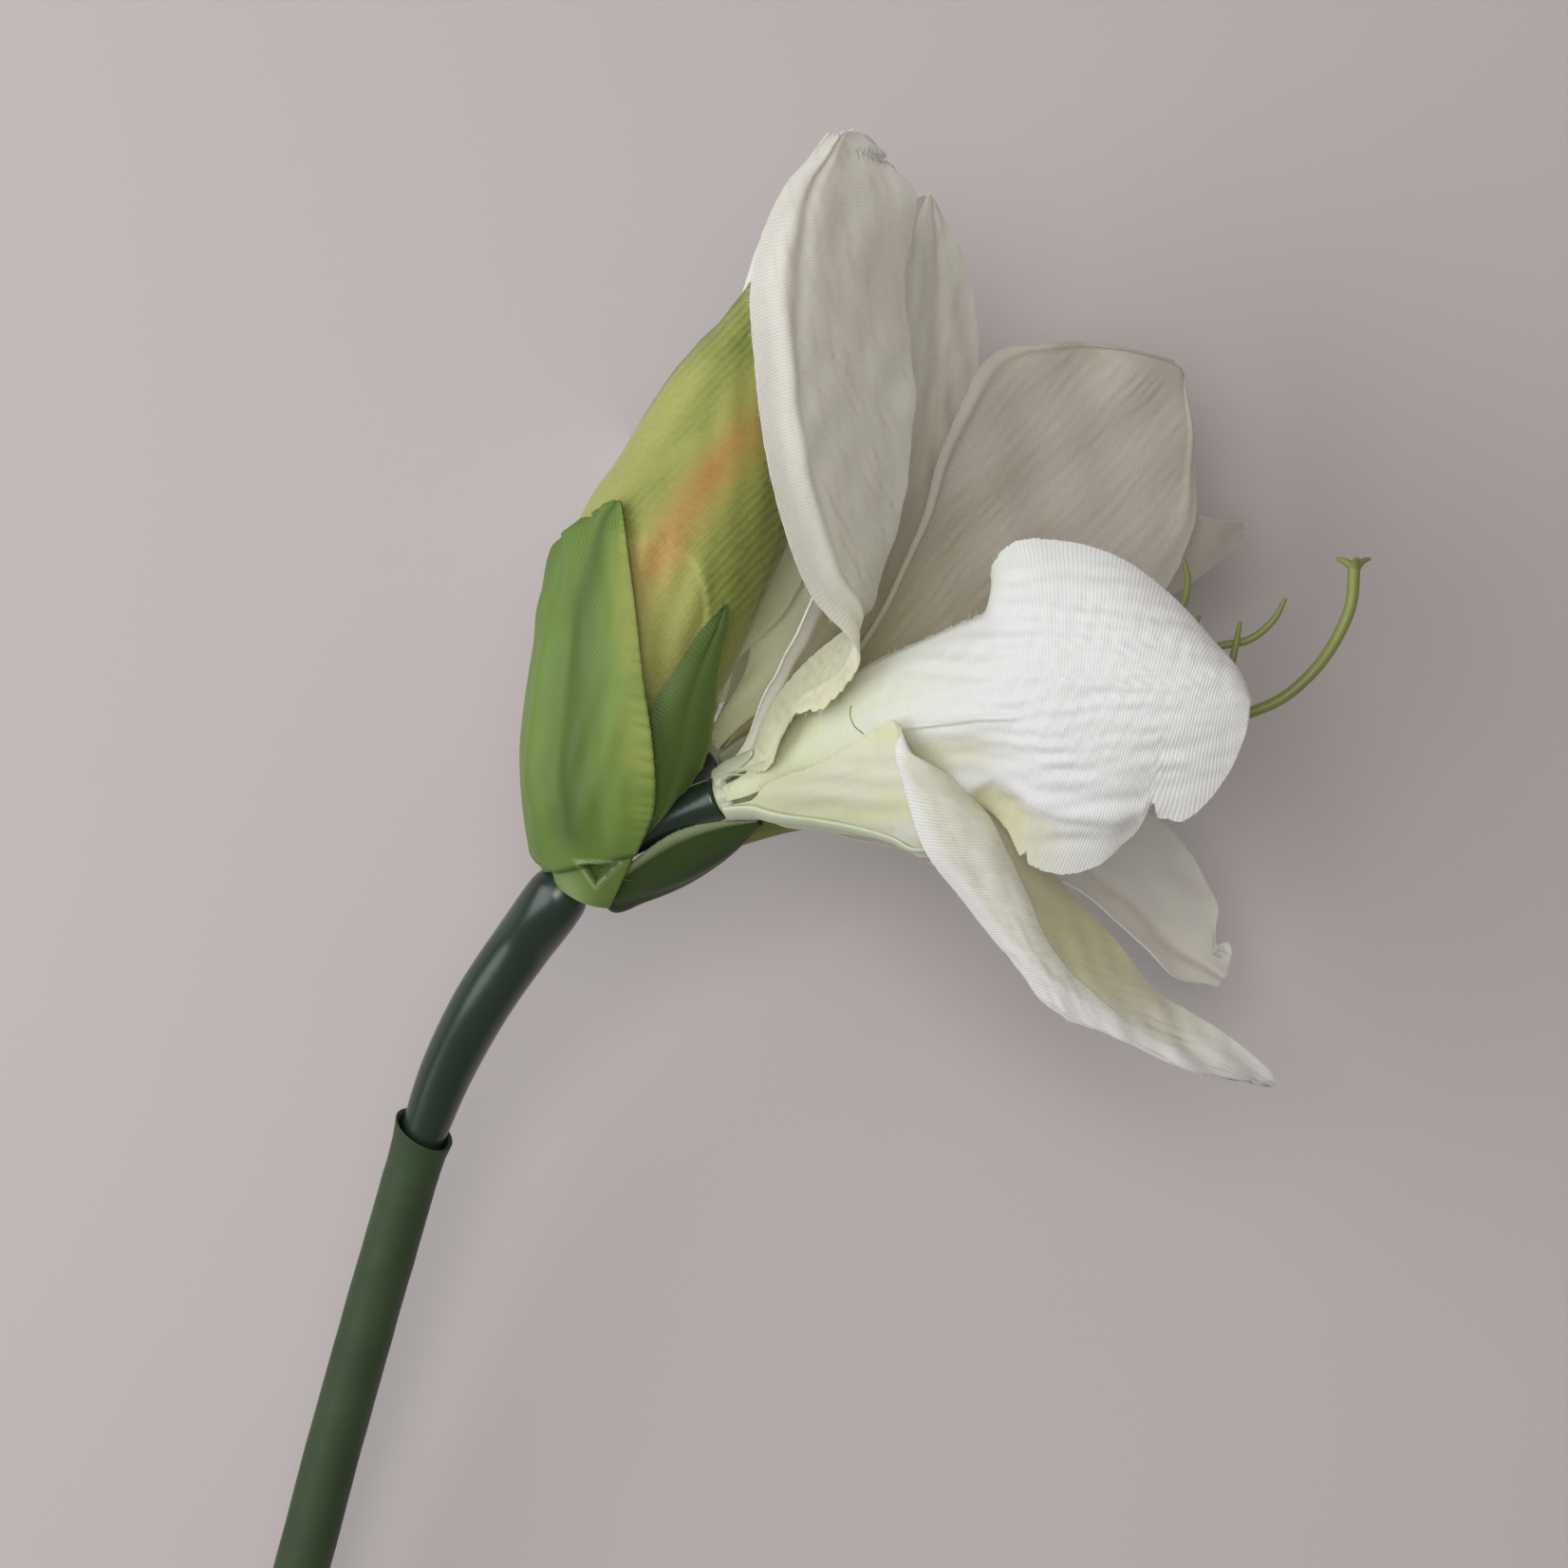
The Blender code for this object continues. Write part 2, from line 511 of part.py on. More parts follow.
def rear_stamens(frame):
    """Pistil and filaments of the rear bloom, which lean out a little and curl towards the view's top."""
    pistil = [polar(frame, 40, 2, 60), polar(frame, 40, 6, 90), polar(frame, 20, 14, 106)]
    filaments = []
    for i in range(6):
        azimuth = 30 + 60 * i
        filaments.append([polar(frame, azimuth, 5, 45), polar(frame, azimuth, 9, 72), polar(frame, azimuth, 13, 88)])
    return pistil, filaments


def build():
    clear_scene()
    make_materials()
    group = collection("amaryllis")
    tools = collection("tools")
    stem(group, tools)
    bud(group)
    for name, bract in BRACTS.items():
        surface = Blade(bract["left"], bract["mid"], bract["right"])
        sheet(name, surface, "bract_green", group, columns=6, rows=10, thickness=BRACT_CLOTH)
    front = bloom_frame(FRONT_BASE, FRONT_BEARING, FRONT_TILT)
    front_petals = {name: (petal["azimuth"], front_petal(front, petal)) for name, petal in FRONT_PETALS.items()}
    bloom("front", front, front_petals, FRONT_RIBS, FRONT_PISTIL, FRONT_STAMENS, group, tools)
    rear = bloom_frame(REAR_BASE, REAR_BEARING, REAR_TILT)
    rear_petals = {name: (shape[0], rear_petal(rear, *shape)) for name, shape in REAR_PETALS.items()}
    bloom("rear", rear, rear_petals, REAR_RIBS, *rear_stamens(rear), group, tools)
    flatten_tip(bpy.data.objects[RESTING_PETAL], tools)


build()
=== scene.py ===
# %% [markdown]
# # An artificial amaryllis, laid on a pale floor
#
# The flower is a plastic stem that carries fabric bracts, a printed fabric bud and two white fabric
# blooms. The frame holds every piece as a plain solid at its real size. Here each cloth piece is made
# again as a fine sheet with its creases, veins and frayed edges, and each moulded piece as a smooth
# casting. Lengths below are in millimetres unless a name says otherwise.

# %% Load the frame
from math import atan, cos, degrees, pi, radians, sin

import bpy
import numpy as np
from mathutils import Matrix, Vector


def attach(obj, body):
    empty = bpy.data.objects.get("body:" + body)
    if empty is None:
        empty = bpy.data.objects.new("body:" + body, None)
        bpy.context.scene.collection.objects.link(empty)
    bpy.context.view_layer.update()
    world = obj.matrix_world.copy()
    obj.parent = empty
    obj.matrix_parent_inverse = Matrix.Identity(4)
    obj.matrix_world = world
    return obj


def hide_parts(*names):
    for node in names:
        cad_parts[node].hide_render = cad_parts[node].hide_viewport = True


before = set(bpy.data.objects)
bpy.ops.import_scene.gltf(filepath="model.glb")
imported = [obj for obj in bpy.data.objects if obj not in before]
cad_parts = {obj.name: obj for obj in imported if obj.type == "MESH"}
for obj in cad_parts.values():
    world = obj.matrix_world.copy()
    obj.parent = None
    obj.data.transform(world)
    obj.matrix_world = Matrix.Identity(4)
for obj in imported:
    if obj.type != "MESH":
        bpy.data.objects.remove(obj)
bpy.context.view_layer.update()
MM = 0.001
print("nodes in the frame:", len(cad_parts))

# %% [markdown]
# The photograph looks at the flower square on, from about a metre. As the flower lies down here, the
# camera hangs over it and looks straight down, with the top of the picture towards +Y.

# %% Camera
FLOWER = np.array((29, 152.5, 0))           # where the flower's own frame stands in the part's frame
CAMERA_HEIGHT = 1010
MIDDLE_DISTANCE = 900                       # from the camera to the flower's middle
HALF_VIEW = 173.46                          # half of what the picture spans at that distance

bpy.ops.object.camera_add(location=(FLOWER + (0, 0, CAMERA_HEIGHT)) * MM, rotation=(0, 0, 0))
camera = bpy.context.object
camera.data.angle = 2 * atan(HALF_VIEW / MIDDLE_DISTANCE)
bpy.context.scene.camera = camera
print("angle of view, degrees:", round(degrees(camera.data.angle), 2))

# %% [markdown]
# Every finish here is a small web of shader nodes. These helpers add one node at a time and link it, so
# that a finish reads from top to bottom: noise, sums, blends of colours, and at the end the shader.

# %% Shader helpers


def material(name, roughness=0.5, **inputs):
    """A new material, its node tree and its Principled shader, with plain values set on the shader."""
    made = bpy.data.materials.new(name)
    made.use_nodes = True
    shader = made.node_tree.nodes["Principled BSDF"]
    shader.inputs["Roughness"].default_value = roughness
    for key, value in inputs.items():
        shader.inputs[key.replace("_", " ")].default_value = value
    print("material:", name)
    return made, made.node_tree, shader


def add(tree, kind, settings=None, **inputs):
    """Adds a shader node; an input is a value or another node's output."""
    made = tree.nodes.new("ShaderNode" + kind)
    for key, value in (settings or {}).items():
        setattr(made, key, value)
    for key, value in inputs.items():
        socket = made.inputs[int(key[1:])] if key[1:].isdigit() else made.inputs[key.replace("_", " ")]
        if isinstance(value, bpy.types.NodeSocket):
            tree.links.new(value, socket)
        else:
            socket.default_value = value
    return made


def calc(tree, operation, first, second=0.0):
    """One sum on two values, or on one where the operation takes one."""
    return add(tree, "Math", {"operation": operation}, i0=first, i1=second).outputs[0]


def times(tree, first, second):
    return calc(tree, "MULTIPLY", first, second)


def scaled(tree, value, factor, offset):
    return calc(tree, "ADD", times(tree, value, factor), offset)


def clamp(tree, value):
    """Holds a value between 0 and 1."""
    return add(tree, "Clamp", Value=value).outputs[0]


def noise(tree, vector, scale, detail, roughness=0.5):
    """Cloudy noise from 0 to 1."""
    made = add(tree, "TexNoise", Vector=vector, Scale=scale, Detail=detail, Roughness=roughness)
    return made.outputs["Fac"]


def mix(tree, share, first, second):
    """Blends two colours by a share from 0 to 1."""
    return add(tree, "Mix", {"data_type": "RGBA"}, i0=share, i6=first, i7=second).outputs[2]


def colour(red, green, blue):
    return (red, green, blue, 1.0)


# %% [markdown]
# A plain floor takes the place of the wall behind the flower. It is a warm light grey, and far wider
# than the picture, so that no edge shows.

# %% Floor
FLOOR_SIZE = 8                              # metres

bpy.ops.mesh.primitive_plane_add(size=FLOOR_SIZE)
floor = bpy.context.object
floor.name = "floor"
floor_paint, tree, shader = material("floor_paint", roughness=0.9)
speckle = noise(tree, add(tree, "TexCoord").outputs["Object"], 3.0, 3.0)
tint = mix(tree, speckle, colour(0.520, 0.480, 0.484), colour(0.545, 0.505, 0.509))
tree.links.new(tint, shader.inputs["Base Color"])
floor.data.materials.append(floor_paint)

# %% [markdown]
# The flower is lit as by a window: a large soft source to the upper left, low over the floor, so that
# what faces left is bright and the inner faces lie in shade. A weak broad light from the camera's side
# and the room fill the shade, both a little warm. The Standard view keeps the greens and the white as
# clear as the photograph has them.

# %% Light


def soft_light(name, place, size, power, tint):
    """An area lamp that faces the flower's middle."""
    bpy.ops.object.light_add(type="AREA", location=Vector(FLOWER + place) * MM)
    lamp = bpy.context.object
    lamp.name = name
    lamp.data.size = size * MM
    lamp.data.energy = power
    lamp.data.color = tint
    aim = Vector(FLOWER + (0, 0, 100)) * MM - lamp.location
    lamp.rotation_euler = aim.to_track_quat("-Z", "Y").to_euler()
    print(name, "of", power, "watts")


ROOM_LIGHT = 0.20
soft_light("window", (-900, 100, 920), 1100, 11.2, (0.95, 0.975, 1.0))
soft_light("ceiling", (-90, 120, 1500), 520, 7.6, (1.0, 0.955, 0.90))
world = bpy.data.worlds.new("room")
bpy.context.scene.world = world
world.use_nodes = True
air = world.node_tree.nodes["Background"].inputs
air["Color"].default_value = colour(1.0, 0.95, 0.87)
air["Strength"].default_value = ROOM_LIGHT
bpy.context.scene.view_settings.view_transform = "Standard"

# %% [markdown]
# Every petal and bract is a blade: a left edge, a mid-rib and a right edge, each a smooth curve through
# a few points, with a surface spanned between them. Two numbers name a place on it: s goes from -1 at
# the left edge to 1 at the right edge, and t from 0 at the base to 1 at the tip. The same points shaped
# the solids in the frame, so the fine sheets lie where the solids are.

# %% Smooth curves and blades


def along(points, t):
    """Places at t, from 0 to 1, on a smooth curve through the points, however far apart they are."""
    p = np.asarray(points, float)
    spot = np.asarray(t, float) * (len(p) - 1)
    i = np.clip(spot.astype(int), 0, len(p) - 2)
    f = (spot - i)[..., None]
    step = p[i + 1] - p[i]
    before = np.where((i > 0)[..., None], p[i] - p[np.maximum(i - 1, 0)], step)
    after = np.where((i + 2 < len(p))[..., None], p[np.minimum(i + 2, len(p) - 1)] - p[i + 1], step)
    here, back, on = (np.linalg.norm(v, axis=-1, keepdims=True) for v in (step, before, after))
    start = (before * here / back + step * back / here) * here / (here + back)
    end = (after * here / on + step * on / here) * here / (here + on)
    return p[i] + step * f * f * (3 - 2 * f) + start * f * (1 - f) ** 2 + end * f * f * (f - 1)


def unit(v):
    return v / np.linalg.norm(v, axis=-1, keepdims=True)


def blade(left, mid, right, lowest=0.35):
    """The surface spanned by three curves, kept just over the floor."""
    def surface(s, t):
        a, b, c = (along(edge, t) for edge in (left, mid, right))
        wide = s[..., None]
        place = b + (c - a) * wide / 2 + ((a + c) / 2 - b) * wide * wide
        place[..., 2] = np.maximum(place[..., 2], lowest)
        return place
    return surface


def outward_of(surface, s, t, reach=0.004):
    """The surface's normal, on the side that faces out of the bloom."""
    across = surface(s + reach, t) - surface(s - reach, t)
    ahead = surface(s, np.minimum(t + reach, 1)) - surface(s, np.maximum(t - reach, 0))
    return unit(np.cross(across, ahead))


bend = [(0, 0, 0), (10, 0, 0), (10, 10, 0)]
for share in (0.5, 0.75):
    print(share, "of the way round a bend:", np.round(along(bend, share), 2))

# %% [markdown]
# Moulded cloth is never regular. One helper gives a smooth wander from a few sine waves with fixed
# phases, so it looks random and still comes out the same each time. Another gives sharp raised lines,
# which the moulds press into the cloth as veins.

# %% Wander and veins


def wander(x, seed, rough=5):
    """A smooth irregular wave from about -1 to 1."""
    draw = np.random.default_rng(seed)
    total = np.zeros_like(np.asarray(x, float))
    for k in range(rough):
        total = total + np.sin(x * 1.83 ** k + draw.uniform(0, 2 * pi)) / 1.5 ** k
    return total / 2


def lines(x, sharp=4):
    """Raised lines where x is a whole number, from 0 to 1 in height."""
    return (0.5 + 0.5 * np.cos(2 * pi * np.asarray(x))) ** sharp


def bump(x, middle, width):
    """A single smooth swelling."""
    return np.exp(-((x - middle) / width) ** 2)


def ramp(x, low, high):
    """0 below low, 1 above high, smooth between; high may be the lower one."""
    f = np.clip((x - low) / (high - low), 0, 1)
    return f * f * (3 - 2 * f)


def between(x, start, full, end, fade):
    """1 in between: it rises from start to full, and falls from fade to end."""
    return ramp(x, start, full) * ramp(x, end, fade)


print("a wander at three places:", np.round(wander(np.arange(3.0), 1), 2))

# %% [markdown]
# Every piece ends in the same way: its modifiers are applied, it gets its one finish, and it takes the
# place of its plain solid in the frame, on the part's single body.

# %% Finishing a piece


def deselect():
    bpy.ops.object.select_all(action="DESELECT")


def apply_all(piece):
    """Applies the piece's modifiers in turn."""
    bpy.context.view_layer.objects.active = piece
    for modifier in list(piece.modifiers):
        bpy.ops.object.modifier_apply(modifier=modifier.name)


def dress(piece, node, finish):
    """Gives a finished piece its material and puts it in the place of its node."""
    piece.data.materials.clear()
    piece.data.materials.append(finish)
    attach(piece, "root")
    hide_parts(node)
    print(piece.name, "has", len(piece.data.polygons), "faces")


print("pieces to stand in for:", len(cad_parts))

# %% [markdown]
# A weave has to keep its scale where a petal narrows. So each sheet's UV map, called "cloth", holds real
# metres across and along it, measured on the surface itself.

# %% Weave coordinates


def weave_uv(mesh, surface, s, t, skew):
    """Writes metres across and along the sheet as its UV map, so that a weave has its true scale."""
    stations = np.linspace(0, 1, 60)
    zero = np.zeros_like(stations)
    mid = surface(zero, stations)
    length = np.concatenate([[0], np.cumsum(np.linalg.norm(np.diff(mid, axis=0), axis=1))])
    half = np.linalg.norm(surface(zero + 0.5, stations) - surface(zero - 0.5, stations), axis=1)
    u = s * np.interp(t, stations, half) + skew * np.interp(t, stations, length)
    v = np.interp(t, stations, length)
    corners = np.empty(len(mesh.loops), int)
    mesh.loops.foreach_get("vertex_index", corners)
    layer = mesh.uv_layers.active or mesh.uv_layers.new()
    layer.name = "cloth"
    layer.data.foreach_set("uv", (np.stack([u, v], 1)[corners] * MM).ravel())


print("a millimetre of cloth is", MM, "on its UV map")

# %% [markdown]
# Cut cloth sheds short fibres along its edges. Each is a thin curve of three points, made a mesh and
# joined to its sheet.

# %% Loose threads
THREAD_RADIUS = 0.07


def loose_threads(piece, surface, outline, relief, count, seed):
    """Short fibres that stand out of the cut edges, joined to the sheet."""
    draw = np.random.default_rng(seed + 100)
    curve = bpy.data.curves.new(piece.name + "_threads", "CURVE")
    curve.dimensions = "3D"
    curve.bevel_depth = THREAD_RADIUS * MM
    curve.bevel_resolution = 0
    side = np.where(draw.uniform(size=count) < 0.5, -1.0, 1.0)
    t = draw.uniform(0.06, 0.97, count)
    trim = outline(side, t) if outline else np.ones(count)
    edge = side * trim * 0.985
    root = surface(edge, t)
    if relief:
        root = root + outward_of(surface, edge, t) * relief(edge, t, root)[:, None]
    away = unit(surface(side * trim, t) - surface(side * trim * 0.9, t))
    up = outward_of(surface, side * 0.9, t)
    length = draw.uniform(0.5, 1.5, count) ** 1.5
    for k in range(count):
        bend = up[k] * draw.uniform(-0.5, 0.5) + unit(draw.normal(size=3)) * 0.3
        spline = curve.splines.new("POLY")
        spline.points.add(2)
        for j, point in enumerate(spline.points):
            far = length[k] * j / 2
            spot = root[k] + away[k] * far + bend * far * far * 0.5
            point.co = (*((spot + FLOWER) * MM), 1)
            point.radius = 1 - 0.3 * j
    holder = bpy.data.objects.new(curve.name, curve)
    bpy.context.scene.collection.objects.link(holder)
    deselect()
    holder.select_set(True)
    bpy.context.view_layer.objects.active = holder
    bpy.ops.object.convert(target="MESH")
    holder = bpy.context.object
    attribute = holder.data.attributes.new("dye_and_shade", "FLOAT_VECTOR", "POINT")
    attribute.data.foreach_set("vector", np.zeros(len(holder.data.vertices) * 3))
    piece.select_set(True)
    bpy.context.view_layer.objects.active = piece
    bpy.ops.object.join()
    return piece


print("a loose thread is", 2 * THREAD_RADIUS, "mm thick")

# %% [markdown]
# A cloth piece starts as a flat grid. Its vertices are moved to the blade's surface, its relief is
# pushed out along the normal, its outline is nibbled as cut cloth is, and Solidify gives it thickness.
# An attribute holds up to three amounts of colour that the material mixes in: dye or print, and on several
# pieces painted shade.

# %% Cloth sheets
CLOTH_THICK = 0.4
FRAY_WAVES = 260                            # how fine the nibbles along an edge are
LOWEST = 0.25                               # no cloth lies lower over the floor


def cloth(node, surface, finish, columns=90, rows=140, relief=None, outline=None, dye_and_shade=None,
          fray=0.01, seed=1, threads=0, skew=0.0):
    """A sheet of cloth on a surface, which takes the place of the node."""
    deselect()
    bpy.ops.mesh.primitive_grid_add(x_subdivisions=columns, y_subdivisions=rows, size=2)
    piece = bpy.context.object
    piece.name = node + "_cloth"
    mesh = piece.data
    flat = np.empty(len(mesh.vertices) * 3)
    mesh.vertices.foreach_get("co", flat)
    s, t = flat.reshape(-1, 3)[:, 0], (flat.reshape(-1, 3)[:, 1] + 1) / 2
    trim = outline(s, t) if outline else np.ones_like(s)
    frayed = fray(s, t) if callable(fray) else fray
    nibble = wander(t * FRAY_WAVES + np.sign(s) * 40, seed, 6) * frayed
    reach = s * (trim - np.abs(nibble) * ramp(np.abs(s), 0.5, 1))
    tip_back = 0.006 * (wander(s * 60, seed + 7) + 1) * ramp(t, 0.9, 1)
    stand = np.clip(t - tip_back, 0, 1)
    place = surface(reach, stand)
    if relief:
        place = place + outward_of(surface, reach, stand) * relief(reach, stand, place)[:, None]
    place[:, 2] = np.maximum(place[:, 2], LOWEST)
    mesh.vertices.foreach_set("co", ((place + FLOWER) * MM).ravel())
    weave_uv(mesh, surface, s, t, skew)
    amounts = dye_and_shade(reach, stand, place) if dye_and_shade else np.zeros((len(s), 3))
    attribute = mesh.attributes.new("dye_and_shade", "FLOAT_VECTOR", "POINT")
    attribute.data.foreach_set("vector", np.asarray(amounts, float).ravel())
    solid = piece.modifiers.new("Cloth", "SOLIDIFY")
    solid.thickness = CLOTH_THICK * MM
    solid.offset = 0
    apply_all(piece)
    bpy.ops.object.shade_smooth_by_angle(angle=radians(50))
    if threads:
        piece = loose_threads(piece, surface, outline, relief, threads, seed)
    dress(piece, node, finish)


print("cloth is", CLOTH_THICK, "mm thick")

# %% [markdown]
# Petal cloth, bract cloth and bud cloth are all a fine twill, whose diagonal ribs catch the light. The
# weave is one node group. Its vector is the "cloth" UV map in metres, its pitch is the distance from
# rib to rib, and it puts out a height from 0 to 1, which a Bump node in each material turns into
# relief.

# %% Twill weave


def new_group(name, inputs, outputs):
    """An empty node group with named sockets, its tree, its inputs' node and its outputs' node."""
    group = bpy.data.node_groups.new(name, "ShaderNodeTree")
    for socket, kind, value in inputs:
        made = group.interface.new_socket(socket, in_out="INPUT", socket_type="NodeSocket" + kind)
        if value is not None:
            made.default_value = value
    for socket, kind in outputs:
        group.interface.new_socket(socket, in_out="OUTPUT", socket_type="NodeSocket" + kind)
    return group, group.nodes.new("NodeGroupInput"), group.nodes.new("NodeGroupOutput")


def twill_group():
    """Diagonal ribs with a finer cross thread, loosened a little, and the unevenness of the fibre."""
    group, given, result = new_group(
        "Twill", [("Vector", "Vector", None), ("Pitch", "Float", 0.0006), ("Slant", "Float", 0.9),
                  ("Looseness", "Float", 0.35)], [("Height", "Float"), ("Thread", "Float")])
    vector, pitch, slant, loose = (given.outputs[key] for key in ("Vector", "Pitch", "Slant", "Looseness"))
    wobble = noise(group, vector, 260.0, 2.0)
    shift = times(group, calc(group, "SUBTRACT", wobble, 0.5), times(group, loose, 8.0))
    place = add(group, "SeparateXYZ", Vector=vector).outputs
    turn = calc(group, "ADD", times(group, place["X"], calc(group, "COSINE", slant)),
                times(group, place["Y"], calc(group, "SINE", slant)))
    phase = calc(group, "DIVIDE", times(group, turn, 2 * pi), pitch)
    ribs = calc(group, "SINE", calc(group, "ADD", phase, shift))
    weft = calc(group, "DIVIDE", times(group, place["Y"], 2 * pi), times(group, pitch, 0.45))
    cross = times(group, calc(group, "SINE", calc(group, "ADD", weft, shift)), 0.3)
    height = times(group, calc(group, "ADD", calc(group, "ADD", ribs, cross), 1.3), 0.38)
    group.links.new(height, result.inputs["Height"])
    group.links.new(noise(group, vector, 1500.0, 2.0), result.inputs["Thread"])
    return group


TWILL = twill_group()
print("the twill group has", len(TWILL.nodes), "nodes")

# %% [markdown]
# A cloth's material asks for the weave, reads its amounts of dye and painted shade and ends in two layers of
# relief: the fine ribs, and under them the soft cockling that stiffened cloth keeps.

# %% Weave, dye and relief in a material
WEAVE_PITCH = 0.62                          # from rib to rib, where a cloth doesn't say otherwise


def weave(tree, pitch=WEAVE_PITCH, slant=0.9, looseness=0.35):
    """The twill in a material's tree, with its pitch in millimetres; gives height and thread."""
    uv = add(tree, "UVMap", {"uv_map": "cloth"})
    made = add(tree, "Group", {"node_tree": TWILL}, Vector=uv.outputs["UV"], Pitch=pitch * MM, Slant=slant,
               Looseness=looseness)
    return made.outputs["Height"], made.outputs["Thread"], uv.outputs["UV"]


def dye_and_shade_amounts(tree):
    """The three amounts of dye and painted shade that a sheet carries, as outputs X, Y and Z."""
    dye_and_shade = add(tree, "Attribute", {"attribute_name": "dye_and_shade"}).outputs["Vector"]
    return add(tree, "SeparateXYZ", Vector=dye_and_shade).outputs


def cloth_surface(tree, shader, tone, fine, soft):
    """Links a cloth's colour and its relief: fine and soft are each a height, a strength and millimetres."""
    tree.links.new(tone, shader.inputs["Base Color"])
    ribs = add(tree, "Bump", Strength=fine[1], Distance=fine[2] * MM, Height=fine[0])
    pucker = add(tree, "Bump", Strength=soft[1], Distance=soft[2] * MM, Height=soft[0],
                 Normal=ribs.outputs["Normal"])
    tree.links.new(pucker.outputs["Normal"], shader.inputs["Normal"])


print("ribs stand", WEAVE_PITCH, "mm apart")

# %% [markdown]
# White petal cloth is stiffened polyester. The petals in shade get a warm cream white and the near petal,
# which the window lights, a cool white: painted shade and painted light. It goes yellow-green towards the
# base, where the dye was brushed on, and its moulded veins are a little darker than the rest. The
# attribute carries the base tint, the veins with some painted shade, and a warm painted shade of the folds.

# %% Petal cloth
# Painted shade and painted light: a warm cream for the petals in shade, a cool white for the lit near petal.
WARM_SHADE_WHITE = colour(0.80, 0.775, 0.715)
COOL_LIT_WHITE = colour(0.82, 0.83, 0.845)
BASE_TINT = colour(0.66, 0.68, 0.38)
OLIVE_TINT_AND_SHADE = colour(0.50, 0.48, 0.19)
# The vein tint also serves as painted shade, and the fold tint is a warm painted shade.
VEIN_TINT_AND_SHADE = colour(0.50, 0.48, 0.34)
FOLD_PAINTED_SHADE = colour(0.60, 0.58, 0.30)
THREAD_SHADE = colour(0.62, 0.62, 0.58)
RIB_SHADE = colour(0.52, 0.51, 0.47)


def petal_material(name, white=WARM_SHADE_WHITE, base_tint=BASE_TINT, slant=1.5, relief=0.06, pitch=0.70,
                   ribs_shown=0.16):
    """Stiff white cloth: thread, ribs, veins, base tint; painted shade in rib gaps, veins and folds."""
    made, tree, shader = material(
        name, roughness=0.60, Sheen_Weight=0.15, Sheen_Roughness=0.4, Subsurface_Weight=0.35,
        Subsurface_Radius=(1.0, 0.95, 0.8), Subsurface_Scale=0.0022)
    height, thread, uv = weave(tree, pitch, slant)
    dye_and_shade = dye_and_shade_amounts(tree)
    cloud = noise(tree, uv, 70.0, 5.0, 0.6)
    mottle = noise(tree, uv, 420.0, 3.0, 0.6)
    tone = mix(tree, times(tree, thread, 0.12), white, THREAD_SHADE)
    # Painted shade: the gaps between the twill ribs are darkened.
    tone = mix(tree, times(tree, calc(tree, "SUBTRACT", 1.0, height), ribs_shown), tone, RIB_SHADE)
    vein = clamp(tree, times(tree, dye_and_shade["Y"], scaled(tree, mottle, 1.6, -0.15)))
    # The vein amount darkens real veins and, on some petals, stands for painted shade.
    tone = mix(tree, vein, tone, VEIN_TINT_AND_SHADE)
    base = clamp(tree, times(tree, dye_and_shade["X"], scaled(tree, cloud, 0.8, 0.6)))
    tone = mix(tree, base, tone, base_tint)
    # The fold amount is a warm painted shade.
    tone = mix(tree, clamp(tree, dye_and_shade["Z"]), tone, FOLD_PAINTED_SHADE)
    cloth_surface(tree, shader, tone, (height, 0.7, relief), (cloud, 0.5, 0.7))
    return made


PETAL_CLOTH = petal_material("petal_cloth_white")
# The back petal's base is a darker olive: partly its tint, partly painted shade.
SHADE_CLOTH = petal_material("petal_cloth_olive_base_and_shade", base_tint=OLIVE_TINT_AND_SHADE)
# A darker, warmer copy of the white cloth for the petals deepest in shade: painted shade.
FAR_SHADED_CLOTH = petal_material("petal_cloth_far_painted_shade", colour(0.545, 0.492, 0.462), colour(0.39, 0.36, 0.12))
# A brighter, greener copy for the rear bloom, which lies in the bud's shadow: painted light for its glow.
REAR_LIT_CLOTH = petal_material("petal_cloth_rear_painted_light", colour(0.92, 0.93, 0.88), colour(0.86, 0.95, 0.54))
LOW_CLOTH = petal_material("petal_cloth_low", colour(0.87, 0.87, 0.86), colour(0.72, 0.74, 0.46),
                           relief=0.10, pitch=0.64, ribs_shown=0.30)
NEAR_CLOTH = petal_material("petal_cloth_near", COOL_LIT_WHITE, colour(0.66, 0.71, 0.47),
                            slant=1.42, relief=0.12, pitch=0.66, ribs_shown=0.32)

# %% [markdown]
# Both blooms are built round a hub. A bloom's own frame has its Z along the hub, its X towards the top
# of the picture and its Y towards the camera, so a petal's azimuth says which way it leaves the hub.

# %% Bloom frames


def bloom_frame(base, bearing, tilt):
    """Axes of a bloom as rows: towards the picture's top, towards the camera, along the hub; and its base."""
    axis = np.array((cos(radians(bearing)) * cos(radians(tilt)), sin(radians(bearing)) * cos(radians(tilt)),
                     sin(radians(tilt))))
    top = unit(np.array((0, 1, 0)) - axis * axis[1])
    return np.array((top, np.cross(axis, top), axis)), np.array(base, float)


def polar(bloom, azimuth, radius, height):
    """A place at an azimuth and a radius round a bloom's axis, at a height along it."""
    axes, base = bloom
    angle = radians(azimuth)
    return base + np.array((radius * cos(angle), radius * sin(angle), height)) @ axes


FRONT = bloom_frame((-14, -3, 120), bearing=20, tilt=16)
REAR = bloom_frame((-19, 6, 90), bearing=52, tilt=-32)
CLAW_RADIUS = 4.2
CLAW_HALF_ANGLE = 23
CLAW_STATIONS = ((0, 1.9), (1.3, 7.5))      # how much further out and how high up each station is


def claw(bloom, azimuth):
    """A petal's narrow base: two stations each of its left edge, mid-rib and right edge."""
    edges = []
    for side in (-1, 0, 1):
        angle = azimuth + side * CLAW_HALF_ANGLE
        edges.append([polar(bloom, angle, CLAW_RADIUS + out, height) for out, height in CLAW_STATIONS])
    return edges


